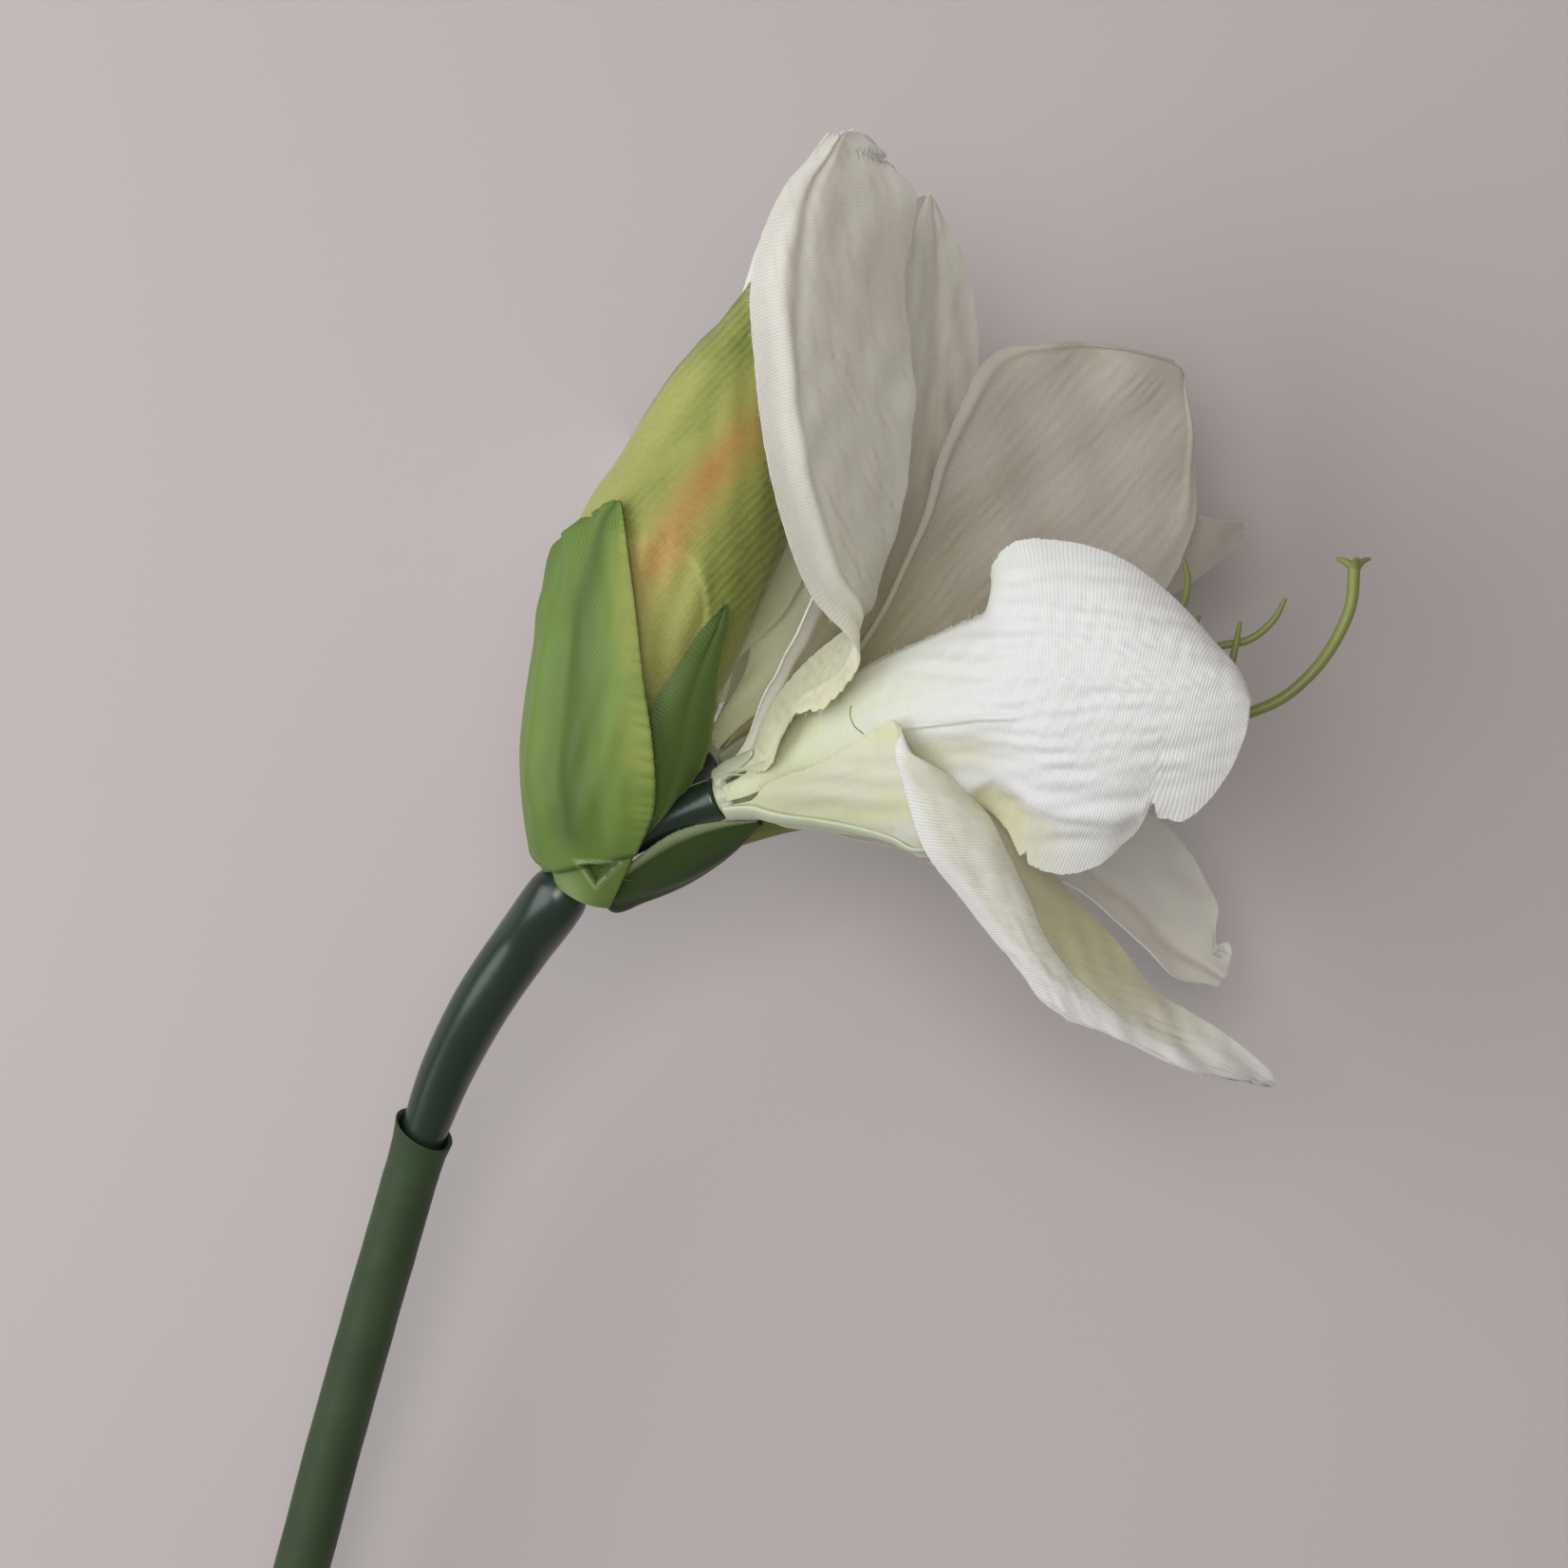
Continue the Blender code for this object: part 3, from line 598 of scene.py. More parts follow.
def front_blade(azimuth, left, mid, right):
    """A petal of the front bloom, from its claw through the points of its three lines."""
    a, b, c = claw(FRONT, azimuth)
    return blade(a + left, b + mid, c + right)


print("axis of the front bloom:", np.round(FRONT[0][2], 2), "and of the rear bloom:", np.round(REAR[0][2], 2))

# %% [markdown]
# Real veins are neither straight nor even. Soft puckers are made of waves in random directions, much
# longer than they are wide, and veins are thin raised lines that lean across the petal, come and go,
# and are strongest in patches.

# %% Puckers and veins


def heading(degrees):
    """The direction at an angle from the picture's right, and the one square to it."""
    angle = radians(degrees)
    return np.array((cos(angle), sin(angle), 0)), np.array((-sin(angle), cos(angle), 0))


def puckers(p, degrees, pitch, stretch, seed, count=12):
    """Soft folds along a direction, about -1 to 1 high, a pitch apart and longer by stretch."""
    draw = np.random.default_rng(seed)
    ahead, across = heading(degrees)
    total = np.zeros(len(p))
    for _ in range(count):
        wave = across * draw.choice((-1, 1)) * draw.uniform(0.55, 1.5) + ahead * draw.normal() / stretch
        total = total + np.sin(2 * pi * (p @ wave) / pitch + draw.uniform(0, 2 * pi))
    return total / np.sqrt(count)


def veins(p, degrees, spacing, seed, sharp=5):
    """Thin lines along a direction, from 0 to 1, which drift, come and go."""
    ahead, across = heading(degrees)
    drift = 0.30 * wander(p @ ahead / 7 + p @ across / 23, seed, 4)
    patch = np.clip(0.35 + 0.65 * puckers(p, degrees, 9, 2, seed + 2), 0, 1)
    return lines(p @ across / spacing + drift, sharp) * patch


def base_dye_and_shade(s, t, end=0.34, strength=0.8, vein=0.0, fold=0.0, seed=21):
    """Dye and painted shade: the tint of the base, the veins and the painted shade of the folds."""
    tint = strength * ramp(t + 0.05 * wander(s * 8, seed + 4), end, 0.05)
    return np.stack([tint, vein + 0 * s, fold + 0 * s], -1)


line = np.linspace(0, 9, 4)[:, None] * (1, 0, 0)
print("puckers along a line:", np.round(puckers(line, 90, 5, 3, 1), 2))

# %% [markdown]
# The tallest petal stands up at the back of the front bloom. It shows its inner face, which is in
# shade. Its left margin is rolled outwards and catches the window light, and a crease follows the roll.

# %% Top petal of the front bloom
TOP_VEINS = (122, 2.3, 24)                  # direction, spacing and seed
top_blade = front_blade(
    30,
    left=[(-3.5, 16, 126), (4.5, 26, 130), (13, 33, 136), (19, 38, 139), (21, 44, 140), (26, 65, 146),
          (27, 85, 152), (25, 106, 160), (27, 121, 174), (17, 131, 188)],
    mid=[(-3.8, 9.5, 132.5), (3, 19, 138), (12.5, 27, 145), (16, 36, 151), (16, 47, 156), (13, 68, 167),
         (11, 89, 176), (11, 107, 184), (12, 121, 189), (14, 132, 191)],
    right=[(-3.9, 2.6, 131.5), (0.6, 11.8, 139), (12, 18.6, 147.5), (16.5, 28, 155), (8, 40, 168),
           (1, 61, 182), (-3, 82, 190), (-5, 102, 196), (2, 119, 198), (11, 130, 194)])
print("the top petal's tip lies at", top_blade(np.zeros(1), np.ones(1))[0])

# %% [markdown]
# The roll starts almost halfway up and carries the crease with it. The left margin is torn near the
# tip, and the right one is cut and frayed lower down, where it meets the near petal.

# %% Top petal's relief, dye, painted shade and torn edges


def top_crease(t):
    """Where the crease beside the rolled margin lies, from the base to the tip."""
    place = np.interp(t, [0, 0.3, 0.42, 0.55, 0.7, 0.85, 1], [0.1, 0.12, 0.38, 0.66, 0.68, 0.68, 0.5])
    return place + 0.05 * wander(t * 13, 31, 3)


def top_relief(s, t, p):
    roll = 2.0 * ramp(s, 0.60, 1.05) + 2.5 * (np.maximum(0, s - 0.5) / 0.5) ** 1.8 * np.sin(pi * t)
    roll = (roll + 0.7 * wander(t * 9, 11, 2) * ramp(s, 0.55, 1)) * ramp(t, 0.42, 0.52)
    crease = -0.9 * bump(s, top_crease(t), 0.075) * between(t, 0.42, 0.5, 0.86, 0.70)
    crease = crease + 0.7 * bump(s, 0.55 + 0.1 * wander(t * 7, 13), 0.10) * ramp(t, 0.66, 0.8)
    swell = 0.3 * bump(s, top_crease(t) + 0.15, 0.10) * between(t, 0.2, 0.4, 0.98, 0.8)
    inside = ramp(s, 0.85, 0.5)
    blotch = 0.34 * puckers(p, 100, 10, 2.4, 22) * ramp(t, 0.35, 0.6) + 0.05 * puckers(p, 115, 3.2, 2.5, 23)
    return roll + crease + swell + blotch * inside - 0.10 * veins(p, *TOP_VEINS, 3) * ramp(t, 0.9, 0.7)


def top_dye_and_shade(s, t, p):
    vein = 0.80 * veins(p, *TOP_VEINS) * ramp(s, 0.6, 0.4) * ramp(t, 0.85, 0.55)
    # A warm painted shade lies towards the base.
    dye_and_shade = base_dye_and_shade(s, t, 0.75, 0.75, vein + 0.35 * veins(p, 98, 3.1, 25), 0.10 * ramp(t, 0.6, 0.3))
    dye_and_shade[:, 0] = dye_and_shade[:, 0] * (0.5 + 0.5 * ramp(t, 0.36, 0.48)) + 0.5 * ramp(s, 0.75, 0.95) * ramp(t, 0.5, 0.42)
    # Partly veins, partly painted shade: the narrow base is darkened all over.
    dye_and_shade[:, 1] = dye_and_shade[:, 1] + 0.90 * ramp(t, 0.46, 0.36)
    dye_and_shade[:, 1] = np.maximum(dye_and_shade[:, 1], 0.8 * veins(p, 50, 1.7, 26, 3) * ramp(t, 0.45, 0.35))
    return dye_and_shade


def top_outline(s, t):
    """The torn bits near the tip."""
    torn = 0.25 * bump(t, 0.965, 0.006) + 0.12 * bump(t, 0.945, 0.012)
    cut = 0.20 * bump(t, 0.285, 0.016) - 0.12 * bump(t, 0.335, 0.014) + 0.10 * bump(t, 0.24, 0.010)
    cut = cut + 0.13 * np.abs(wander(t * 75, 29, 3)) * between(t, 0.19, 0.23, 0.47, 0.43)
    return 1 - np.where(s < 0, torn, 0.05 * bump(t, 0.95, 0.02) + cut)


cloth("front_petal_top", top_blade, PETAL_CLOTH, columns=110, rows=180, relief=top_relief,
      outline=top_outline, dye_and_shade=top_dye_and_shade, seed=31, threads=90,
      fray=lambda s, t: 0.008 + 0.12 * ramp(s, 0, 0.5) * ramp(t, 0.42, 0.34) * ramp(t, 0.10, 0.16))

# %% [markdown]
# Behind it stands a second petal, which fills the gap to the far one and shows a long soft fold.

# %% Back petal of the front bloom
BACK_VEINS = (85, 2.6, 43)
back_blade = front_blade(
    338,
    left=[(3, 16, 112), (18, 34, 103), (32, 55, 96), (41, 76, 91), (44, 100, 90), (40, 119, 94),
          (34, 130, 99)],
    mid=[(-1, 17, 118), (12, 39, 118), (21, 60, 117), (26, 81, 113), (29, 103, 108), (31, 122, 103),
         (32, 132, 101)],
    right=[(-3, 17, 123), (7, 37, 130), (13, 57, 134), (14, 79, 133), (16, 101, 128), (23, 122, 116),
           (30, 130, 105)])


def back_relief(s, t, p):
    folds = 0.9 * bump(s, 0.15, 0.09) * ramp(t, 0.3, 0.7) + 0.7 * bump(s, -0.4, 0.12) * ramp(t, 0.3, 0.7)
    margin = 2.2 * ramp(s, 0.62, 1.0) * ramp(t, 0.04, 0.14) * ramp(t, 0.7, 0.4)
    return folds + margin + 0.30 * puckers(p, 90, 7, 3, 42) - 0.10 * veins(p, *BACK_VEINS)


def back_dye(s, t, p):
    """Olive at the base and veined, but pale along the right margin."""
    pale = 1 - 0.75 * ramp(s, 0.5, 0.8)
    return base_dye_and_shade(s, t, 0.85, 0.8, 0.35 * veins(p, *BACK_VEINS)) * pale[:, None]


cloth("front_petal_back", back_blade, SHADE_CLOTH, columns=70, rows=100, relief=back_relief,
      dye_and_shade=back_dye, seed=33, threads=30)

# %% [markdown]
# The far petal lies beyond the bloom's mouth. It shows its inner face, the deepest in shade, with soft
# moulded ridges that run from the base to the far corner. Its right margin is folded over.

# %% Far petal of the front bloom
FAR_VEINS = (50, 2.4, 53)
far_blade = front_blade(
    281,
    left=[(8, 3, 106), (31, 17, 96), (56, 27, 87), (81, 38, 79.5), (93.2, 54, 75.5), (94, 77, 75),
          (91.5, 94, 79)],
    mid=[(3, 8, 112), (22, 27, 104), (41, 46, 97), (61, 66, 91), (75, 80, 86), (85, 90, 83), (91, 95, 81)],
    right=[(5, 13, 116), (21, 38, 112), (30, 58, 110), (37, 79, 107), (46, 95.5, 101), (70, 99.5, 92),
           (89, 96, 82)])


def far_relief(s, t, p):
    inside = ramp(np.abs(s), 1, 0.8) * ramp(t, 0.97, 0.85)
    ridges = 0.06 * puckers(p, 50, 2.8, 5.5, 51, 16) * ramp(t, 0.3, 0.55) * inside
    fold = -0.45 * bump(s, -0.84, 0.07) * ramp(t, 0.55, 0.7) - 0.8 * bump(s, 0.93, 0.04) * ramp(t, 0.15, 0.3)
    waves = 0.45 * puckers(p, 60, 22, 1.5, 52, 6) + 0.8 * bump(t, 0.86, 0.02) * ramp(s, 0.3, 0.9)
    return ridges + fold + waves - 0.06 * veins(p, *FAR_VEINS) * inside


def far_dye_and_shade(s, t, p):
    # A little warm painted shade lies over the whole far petal.
    return base_dye_and_shade(s, t, 0.66, 1.1, 0.5 * veins(p, *FAR_VEINS), 0.08)


def far_outline(s, t):
    """A small nick in each margin."""
    return 1 - np.where(s > 0, 0.05 * bump(t, 0.80, 0.010), 0.03 * bump(t, 0.75, 0.03))


cloth("front_petal_far", far_blade, FAR_SHADED_CLOTH, columns=110, rows=150, relief=far_relief,
      outline=far_outline, dye_and_shade=far_dye_and_shade, seed=35, threads=40)

# %% [markdown]
# The near petal faces the camera and is the brightest. Its upper margin has a torn corner, its cloth is
# puckered lengthwise where the mould pressed it, and its lower lobe drops away behind a crease that
# ends in a notch.

# %% Near petal of the front bloom
near_blade = front_blade(
    90,
    left=[(0, 11.5, 129), (8, 20, 134.5), (18, 27, 141), (28.5, 32, 145.5), (37, 36, 149), (41.8, 38.5, 152),
          (42.7, 45, 156), (48, 50.6, 158.5), (57.5, 50.8, 161), (69.5, 47.2, 164), (80, 39.4, 166),
          (88.5, 30, 168), (94.5, 22.5, 169.5), (96.3, 17.5, 170.5)],
    mid=[(-1, 5, 131), (8, 8.5, 138), (17, 11.5, 145), (26, 13.8, 152), (34, 15, 157), (41, 16, 161.5),
         (48, 16.6, 165), (55, 17, 168), (62, 17.6, 170), (70, 18, 172), (78, 18, 173), (85.5, 17.6, 173),
         (92, 16.8, 172), (96.4, 15.5, 170.8)],
    right=[(1, 1, 130), (10, 0.5, 134.5), (20, -2.5, 139), (29, -5, 142), (36, -6, 144.5), (42, -5.8, 146.5),
           (46, -9.5, 148.5), (50, -16.5, 150.5), (57, -19.6, 152.5), (66, -17.8, 155.5), (74, -11, 159),
           (84.5, -7, 162.5), (92, 2, 166.5), (95.7, 11, 170)])
print("the near petal's tip lies at", near_blade(np.zeros(1), np.ones(1))[0])

# %% [markdown]
# Its relief is a sum of simple parts: long puckers, a short rib, a valley beside it, the lobe that drops
# beyond the crease, and the upper margin that turns back. The dye and the painted shade follow the same
# lines: painted shade darkens the valley, the lobe beyond the crease and the crease itself, and the base
# lies under a painted shadow.

# %% Near petal's relief, dye, painted shade and torn edge


def lobe_crease(t):
    """Where the crease above the lower lobe lies."""
    stations = [0.40, 0.44, 0.49, 0.615, 0.69, 0.73, 0.775, 0.81]
    return np.interp(t, stations, [0.95, 0.80, 0.667, 0.669, 0.707, 0.76, 0.823, 0.90])


def near_relief(s, t, p):
    inside = ramp(np.abs(s), 0.98, 0.75) * ramp(t, 0.99, 0.9)
    long = 0.18 * puckers(p, 3, 5.2, 6, 61, 14) * ramp(t, 0.25, 0.5) * inside
    small = 0.16 * puckers(p, 10, 3.6, 1.3, 62, 12) * bump(s, 0.0, 0.5) * bump(t, 0.68, 0.2)
    small = small + 0.10 * puckers(p, 60, 4.5, 1.5, 66, 12) * bump(s, -0.5, 0.25) * inside
    rib = 0.8 * bump(s, 0.10, 0.022) * between(t, 0.3, 0.38, 0.56, 0.5)
    valley = -1.1 * bump(s, 0.45, 0.20) * between(t, 0.2, 0.36, 0.56, 0.44)
    crease = lobe_crease(t)
    lobe = -1.1 * ramp(s, crease - 0.02, crease + 0.12) * between(t, 0.40, 0.48, 0.83, 0.80)
    lip = 0.5 * bump(s, crease - 0.05, 0.05) * between(t, 0.46, 0.54, 0.84, 0.8)
    turn = -2.0 * ramp(s, -0.82, -1.0) * ramp(t, 0.12, 0.25) * ramp(t, 0.58, 0.48)
    return long + small + rib + valley + lobe + lip + turn


def near_dye_and_shade(s, t, p):
    dye_and_shade = base_dye_and_shade(s, t, 0.52, 1.1, seed=67)
    dye_and_shade[:, 0] = np.maximum(dye_and_shade[:, 0], 0.7 * ramp(s, -0.78, -0.92) * ramp(t, 0.62, 0.5))
    crease = lobe_crease(t)
    # Painted shade: the lobe beyond the crease, which faces down, is darker and cream.
    lobe = ramp(s, crease - 0.04, crease + 0.12) * (0.10 + 0.90 * ramp(t, 0.72, 0.52))
    # Painted shade in the valley, and a painted shadow over the base.
    valley_and_base_shade = 0.45 * bump(s, 0.42, 0.2) * between(t, 0.22, 0.34, 0.55, 0.42) + 0.10 * ramp(t, 0.34, 0.18)
    lobe = lobe * ramp(t, 0.85, 0.78)
    dye_and_shade[:, 2] = valley_and_base_shade + 0.70 * lobe
    # A thin painted shade line runs along the crease.
    dye_and_shade[:, 1] = 0.55 * lobe + 0.3 * bump(s, crease, 0.012) * between(t, 0.44, 0.5, 0.8, 0.76)
    return dye_and_shade


def near_outline(s, t):
    notch = 0.20 * bump(t, 0.812, 0.009) + 0.06 * bump(t, 0.832, 0.014)
    torn = 0.05 * bump(t, 0.425, 0.007) + 0.04 * bump(t, 0.465, 0.006) + 0.03 * bump(t, 0.53, 0.006)
    return 1 - np.where(s > 0, notch + 0.05 * bump(t, 0.60, 0.006), torn)


cloth("front_petal_near", near_blade, NEAR_CLOTH, columns=150, rows=215, relief=near_relief,
      outline=near_outline, dye_and_shade=near_dye_and_shade, seed=37, threads=150,
      fray=lambda s, t: 0.008 + 0.06 * ramp(s, -0.3, -0.7) * bump(t, 0.42, 0.10))

# %% [markdown]
# The low petal leaves the hub towards the viewer's lower right, folds over itself and runs out to a
# slim tip. Its near half stands over the far half, so a sharp edge parts the pale band from the veined
# face beyond it, and its outer margin is rolled back and bright.

# %% Low petal of the front bloom
LOW_VEINS = (-20, 1.9, 73)
low_blade = front_blade(
    150,
    left=[(-4, 0, 133), (8, 5, 142), (19, 11, 151), (23.3, 13.3, 155.5), (24.3, 12, 156), (23.4, 7, 155.3),
          (25.2, 0.2, 152.5), (30, -14.1, 147), (38, -24.5, 142.5), (47.1, -35.8, 138.5), (57.5, -48.5, 134),
          (74, -55.4, 128.5), (89, -62.5, 122.5), (106, -66, 117)],
    mid=[(-3, -6, 127), (11, -8, 131), (23, -11, 136), (30, -14, 139), (32, -5, 144), (35.5, 1, 149.5),
         (41, -5.5, 148), (47, -16, 145.5), (51.5, -26, 142), (57, -36.5, 138), (66, -45.5, 133),
         (77.5, -54.5, 128), (92, -61, 122), (108, -67, 115)],
    right=[(-2, -8.5, 122), (10, -10, 120), (24, -8, 117), (30, -8, 117), (38, -7, 116), (44, -9, 116),
           (50, -10, 117), (57, -17, 118.5), (64, -25, 119), (72, -33.5, 119), (80, -43.5, 118),
           (89, -50, 117.5), (99, -56.5, 117), (109, -65, 115)])
print("the low petal's tip lies at", low_blade(np.zeros(1), np.ones(1))[0])

# %% [markdown]
# The fold starts halfway along, so most of the relief and the dye below is held back until there. The
# near half is darkened along its middle with painted shade and is white at its rolled rim; the half beyond
# is veined and warm with painted shade.

# %% Low petal's relief, dye and painted shade


def low_relief(s, t, p):
    turned = ramp(t, 0.47, 0.57)
    long = 0.12 * puckers(p, -4, 7, 4, 79) * ramp(t, 0.40, 0.32) * ramp(t, 0.05, 0.15) * ramp(s, -0.98, -0.7)
    margins = 0.4 * wander(t * 20 + s * 3, 71, 3) * ramp(np.abs(s), 0.5, 1) * turned
    overhang = -1.0 * between(s, -0.5, 0.02, 0.09, 0.03) * turned * ramp(t, 0.88, 0.74)
    band = 0.22 * puckers(p, -50, 7, 2.5, 72) * turned * ramp(s, -0.95, -0.7)
    fine = 0.16 * puckers(p, -52, 2.6, 4, 76) * ramp(s, 0.0, -0.3) * ramp(t, 0.66, 0.72) * ramp(t, 0.86, 0.8)
    return long + margins + overhang + band + fine - 0.12 * veins(p, *LOW_VEINS, 3) * turned


def low_dye_and_shade(s, t, p):
    beyond = ramp(s, 0.03, 0.12) * ramp(t, 0.45, 0.52)
    rim = np.interp(t, [0.47, 0.60, 0.70, 0.78, 0.86], [-0.90, -0.82, -0.62, -0.30, 0.10])
    band = ramp(s, rim - 0.08, rim + 0.10) * ramp(s, 0.05, 0) * ramp(t, 0.43, 0.47)
    # Painted shade: the band is darkened evenly, with a soft mottle.
    band_painted_shade = 0.50 + 0.20 * veins(p, -62, 2.4, 74, 2) + 0.2 * np.clip(puckers(p, -60, 8, 2.2, 77), 0, 1)
    vein = 0.8 * veins(p, *LOW_VEINS, 3) * beyond + band_painted_shade * band
    dye_and_shade = base_dye_and_shade(s, t, 0.40, 1.1, vein + 0.5 * veins(p, 8, 2.2, 78, 2) * ramp(t, 0.38, 0.30))
    outer = (0.72 + 0.16 * puckers(p, -4, 12, 3, 80)) * ramp(t, 0.44, 0.39)
    dye_and_shade[:, 0] = np.maximum(np.maximum(dye_and_shade[:, 0], outer), band * (0.10 + 0.30 * ramp(t, 0.62, 0.48)))
    # Painted shade over the half beyond the fold, in the near petal's shadow.
    dye_and_shade[:, 2] = 0.80 * beyond * ramp(t, 1.0, 0.7)
    return dye_and_shade


cloth("front_petal_low", low_blade, LOW_CLOTH, columns=130, rows=200, relief=low_relief,
      dye_and_shade=low_dye_and_shade, seed=39, threads=90,
      fray=lambda s, t: 0.008 + 0.05 * ramp(s, 0, -0.5) * ramp(t, 0.24, 0.16))

# %% [markdown]
# The sixth petal hangs below the others and is mostly hidden. Only its end shows, in shade.

# %% Under petal of the front bloom
under_blade = front_blade(
    222,
    left=[(0, -7.5, 119.5), (20, -13, 110), (41, -17, 100), (61, -21, 90), (77, -32, 78), (91, -45, 67),
          (101, -47, 59)],
    mid=[(1, -5, 117), (22, -8, 104), (44, -10, 92), (64, -13, 80), (81, -22, 70), (94, -35, 62),
         (104, -45, 58)],
    right=[(3, -2, 113), (25, -1, 94), (49, -1, 80), (71, -2, 70), (90, -10, 62), (100, -25, 58),
           (105, -40, 57)])


def under_relief(s, t, p):
    """Broad puckers, a ridge beside the mid-rib and a wavy right margin."""
    ridge = 0.6 * bump(s, -0.35, 0.14)
    return 0.5 * puckers(p, -30, 12, 2, 75) + ridge + 0.9 * wander(t * 20, 76, 2) * ramp(s, 0.5, 1)


# The dark line beside the ridge is the painted shade of a fold.
cloth("front_petal_under", under_blade, PETAL_CLOTH, columns=60, rows=90, seed=43,
      outline=lambda s, t: 1 - np.where(s > 0, 0.55 * bump(t, 0.95, 0.022), 0), relief=under_relief,
      dye_and_shade=lambda s, t, p: base_dye_and_shade(s, t, 0.5, 0.8, 0.5 * bump(s, -0.55, 0.12)), threads=20)

# %% [markdown]
# The rear bloom is built from one rule: each petal flares away from the bloom's axis and wraps part of
# the way round it, and its width follows one curve. Its tips reach the floor and carry the flower.

# %% Rear bloom
WIDEST_SPAN = 48                            # degrees to each side
WIDENS_OVER = 26                            # how far up the claw it takes
REAR_VEINS = (55, 2.6, 83)
REAR_PETALS = {                             # azimuth, length, flare at claw and tip, half width
    "rear_petal_left": (355, 126, 29, 39, 21),
    "rear_petal_top": (60, 120, 20, 27, 27),
    "rear_petal_near": (118, 140, 28, 36, 27),
    "rear_petal_right": (175, 146, 20, 27, 27),
    "rear_petal_low": (230, 116.8, 14, 17, 27),
    "rear_petal_under": (288, 119.8, 36, 46, 25),
}


def rear_blade(azimuth, length, flare_claw, flare_tip, half_width, stations=8):
    """A petal whose mid-rib flares away from the bloom's axis, by some degrees at the claw and the tip."""
    edges = claw(REAR, azimuth)
    out, claw_end = CLAW_STATIONS[-1]
    radius, height = CLAW_RADIUS + out, claw_end
    step = (length - height) / stations
    for k in range(1, stations + 1):
        t = k / stations
        flare = radians(flare_claw + (flare_tip - flare_claw) * t)
        radius += step * sin(flare)
        height += step * cos(flare)
        wide = max(0.06, sin(pi * (0.97 * t ** 0.8 + 0.02)) ** 0.65)
        open_share = min(1, (height - claw_end) / WIDENS_OVER)
        widest = CLAW_HALF_ANGLE + (WIDEST_SPAN - CLAW_HALF_ANGLE) * open_share ** 2
        span = min(widest, np.degrees(half_width * wide / radius))
        for edge, side in zip(edges, (-1, 0, 1)):
            edge.append(polar(REAR, azimuth + side * span, radius, height))
    return blade(*edges, lowest=0.3)


def rear_dye(s, t, p):
    dye_and_shade = base_dye_and_shade(s, t, 0.75, 0.9, 0.25 * veins(p, *REAR_VEINS))
    # The fold amount is a faint painted shade along the margins near the base.
    dye_and_shade[:, 2] = 0.12 * ramp(np.abs(s), 0.6, 0.95) * ramp(t, 0.6, 0.3)
    return dye_and_shade


# The rear right petal takes the darker copy too: painted shade.
REAR_FINISHES = {"rear_petal_near": FAR_SHADED_CLOTH}
REAR_OUTLINES = {"rear_petal_top": lambda s, t: 1 - 0.45 * ramp(t, 0.72, 0.92)}

for k, (node, shape) in enumerate(REAR_PETALS.items()):
    cloth(node, rear_blade(*shape), REAR_FINISHES.get(node, REAR_LIT_CLOTH), columns=50, rows=76,
          seed=80 + k, dye_and_shade=rear_dye, threads=16, outline=REAR_OUTLINES.get(node),
          relief=lambda s, t, p, k=k: 0.4 * puckers(p, 55, 9, 4, 81 + k) - 0.12 * veins(p, *REAR_VEINS))

# %% [markdown]
# The bud is printed cloth: yellow-green, with an orange blush up its middle and dark green streaks that
# run slantwise round it. The print is three amounts again, in the same attribute that the petals use.

# %% Bud cloth
BUD_GREEN = colour(0.34, 0.385, 0.085)
BUD_YELLOW = colour(0.52, 0.54, 0.16)
BUD_BLUSH = colour(0.58, 0.20, 0.05)
BUD_STREAK = colour(0.12, 0.19, 0.025)
BUD_GRAIN = colour(0.15, 0.15, 0.04)
STREAK_ANGLE = 43                           # degrees that the streaks lean


def bud_material():
    """Printed cloth: green and yellow clouds, yellow parts, slanted streaks, the blush, and grain."""
    made, tree, shader = material(
        "bud_cloth_printed", roughness=0.66, Sheen_Weight=0.2, Sheen_Roughness=0.4, Subsurface_Weight=0.06,
        Subsurface_Radius=(1.0, 0.8, 0.3), Subsurface_Scale=0.001)
    height, thread, _ = weave(tree, slant=0.8)
    dye_and_shade = dye_and_shade_amounts(tree)
    place = add(tree, "TexCoord").outputs["Object"]
    cloud = noise(tree, place, 110.0, 4.0, 0.6)
    patch = noise(tree, place, 45.0, 3.0)
    grain = noise(tree, place, 650.0, 3.0, 0.7)
    swing = calc(tree, "ADD", times(tree, cloud, 0.9), times(tree, grain, 1.1))
    slanted = add(tree, "Mapping", Vector=place, Rotation=(0.0, 0.0, radians(STREAK_ANGLE))).outputs["Vector"]
    stripes = add(tree, "TexWave", Vector=slanted, Scale=185.0, Distortion=2.2, Detail=3.0, Detail_Scale=1.2)
    striped = scaled(tree, stripes.outputs["Fac"], 0.45, 0.40)
    tone = mix(tree, times(tree, cloud, 0.5), BUD_GREEN, BUD_YELLOW)
    yellow = clamp(tree, times(tree, dye_and_shade["Z"], scaled(tree, patch, 1.2, 0.4)))
    tone = mix(tree, yellow, tone, BUD_YELLOW)
    streak = clamp(tree, times(tree, times(tree, dye_and_shade["Y"], swing), striped))
    tone = mix(tree, streak, tone, BUD_STREAK)
    tone = mix(tree, clamp(tree, times(tree, dye_and_shade["X"], swing)), tone, BUD_BLUSH)
    tone = mix(tree, times(tree, calc(tree, "ADD", thread, grain), 0.30), tone, BUD_GRAIN)
    cloth_surface(tree, shader, tone, (height, 0.6, 0.05), (cloud, 0.4, 0.5))
    return made


BUD_CLOTH = bud_material()

# %% [markdown]
# Three wraps of that cloth overlap round a foam core. Each wrap is a sheet bent round the bud's line,
# and its left margin lies over the margin of its neighbour, where the pale cut edge shows.

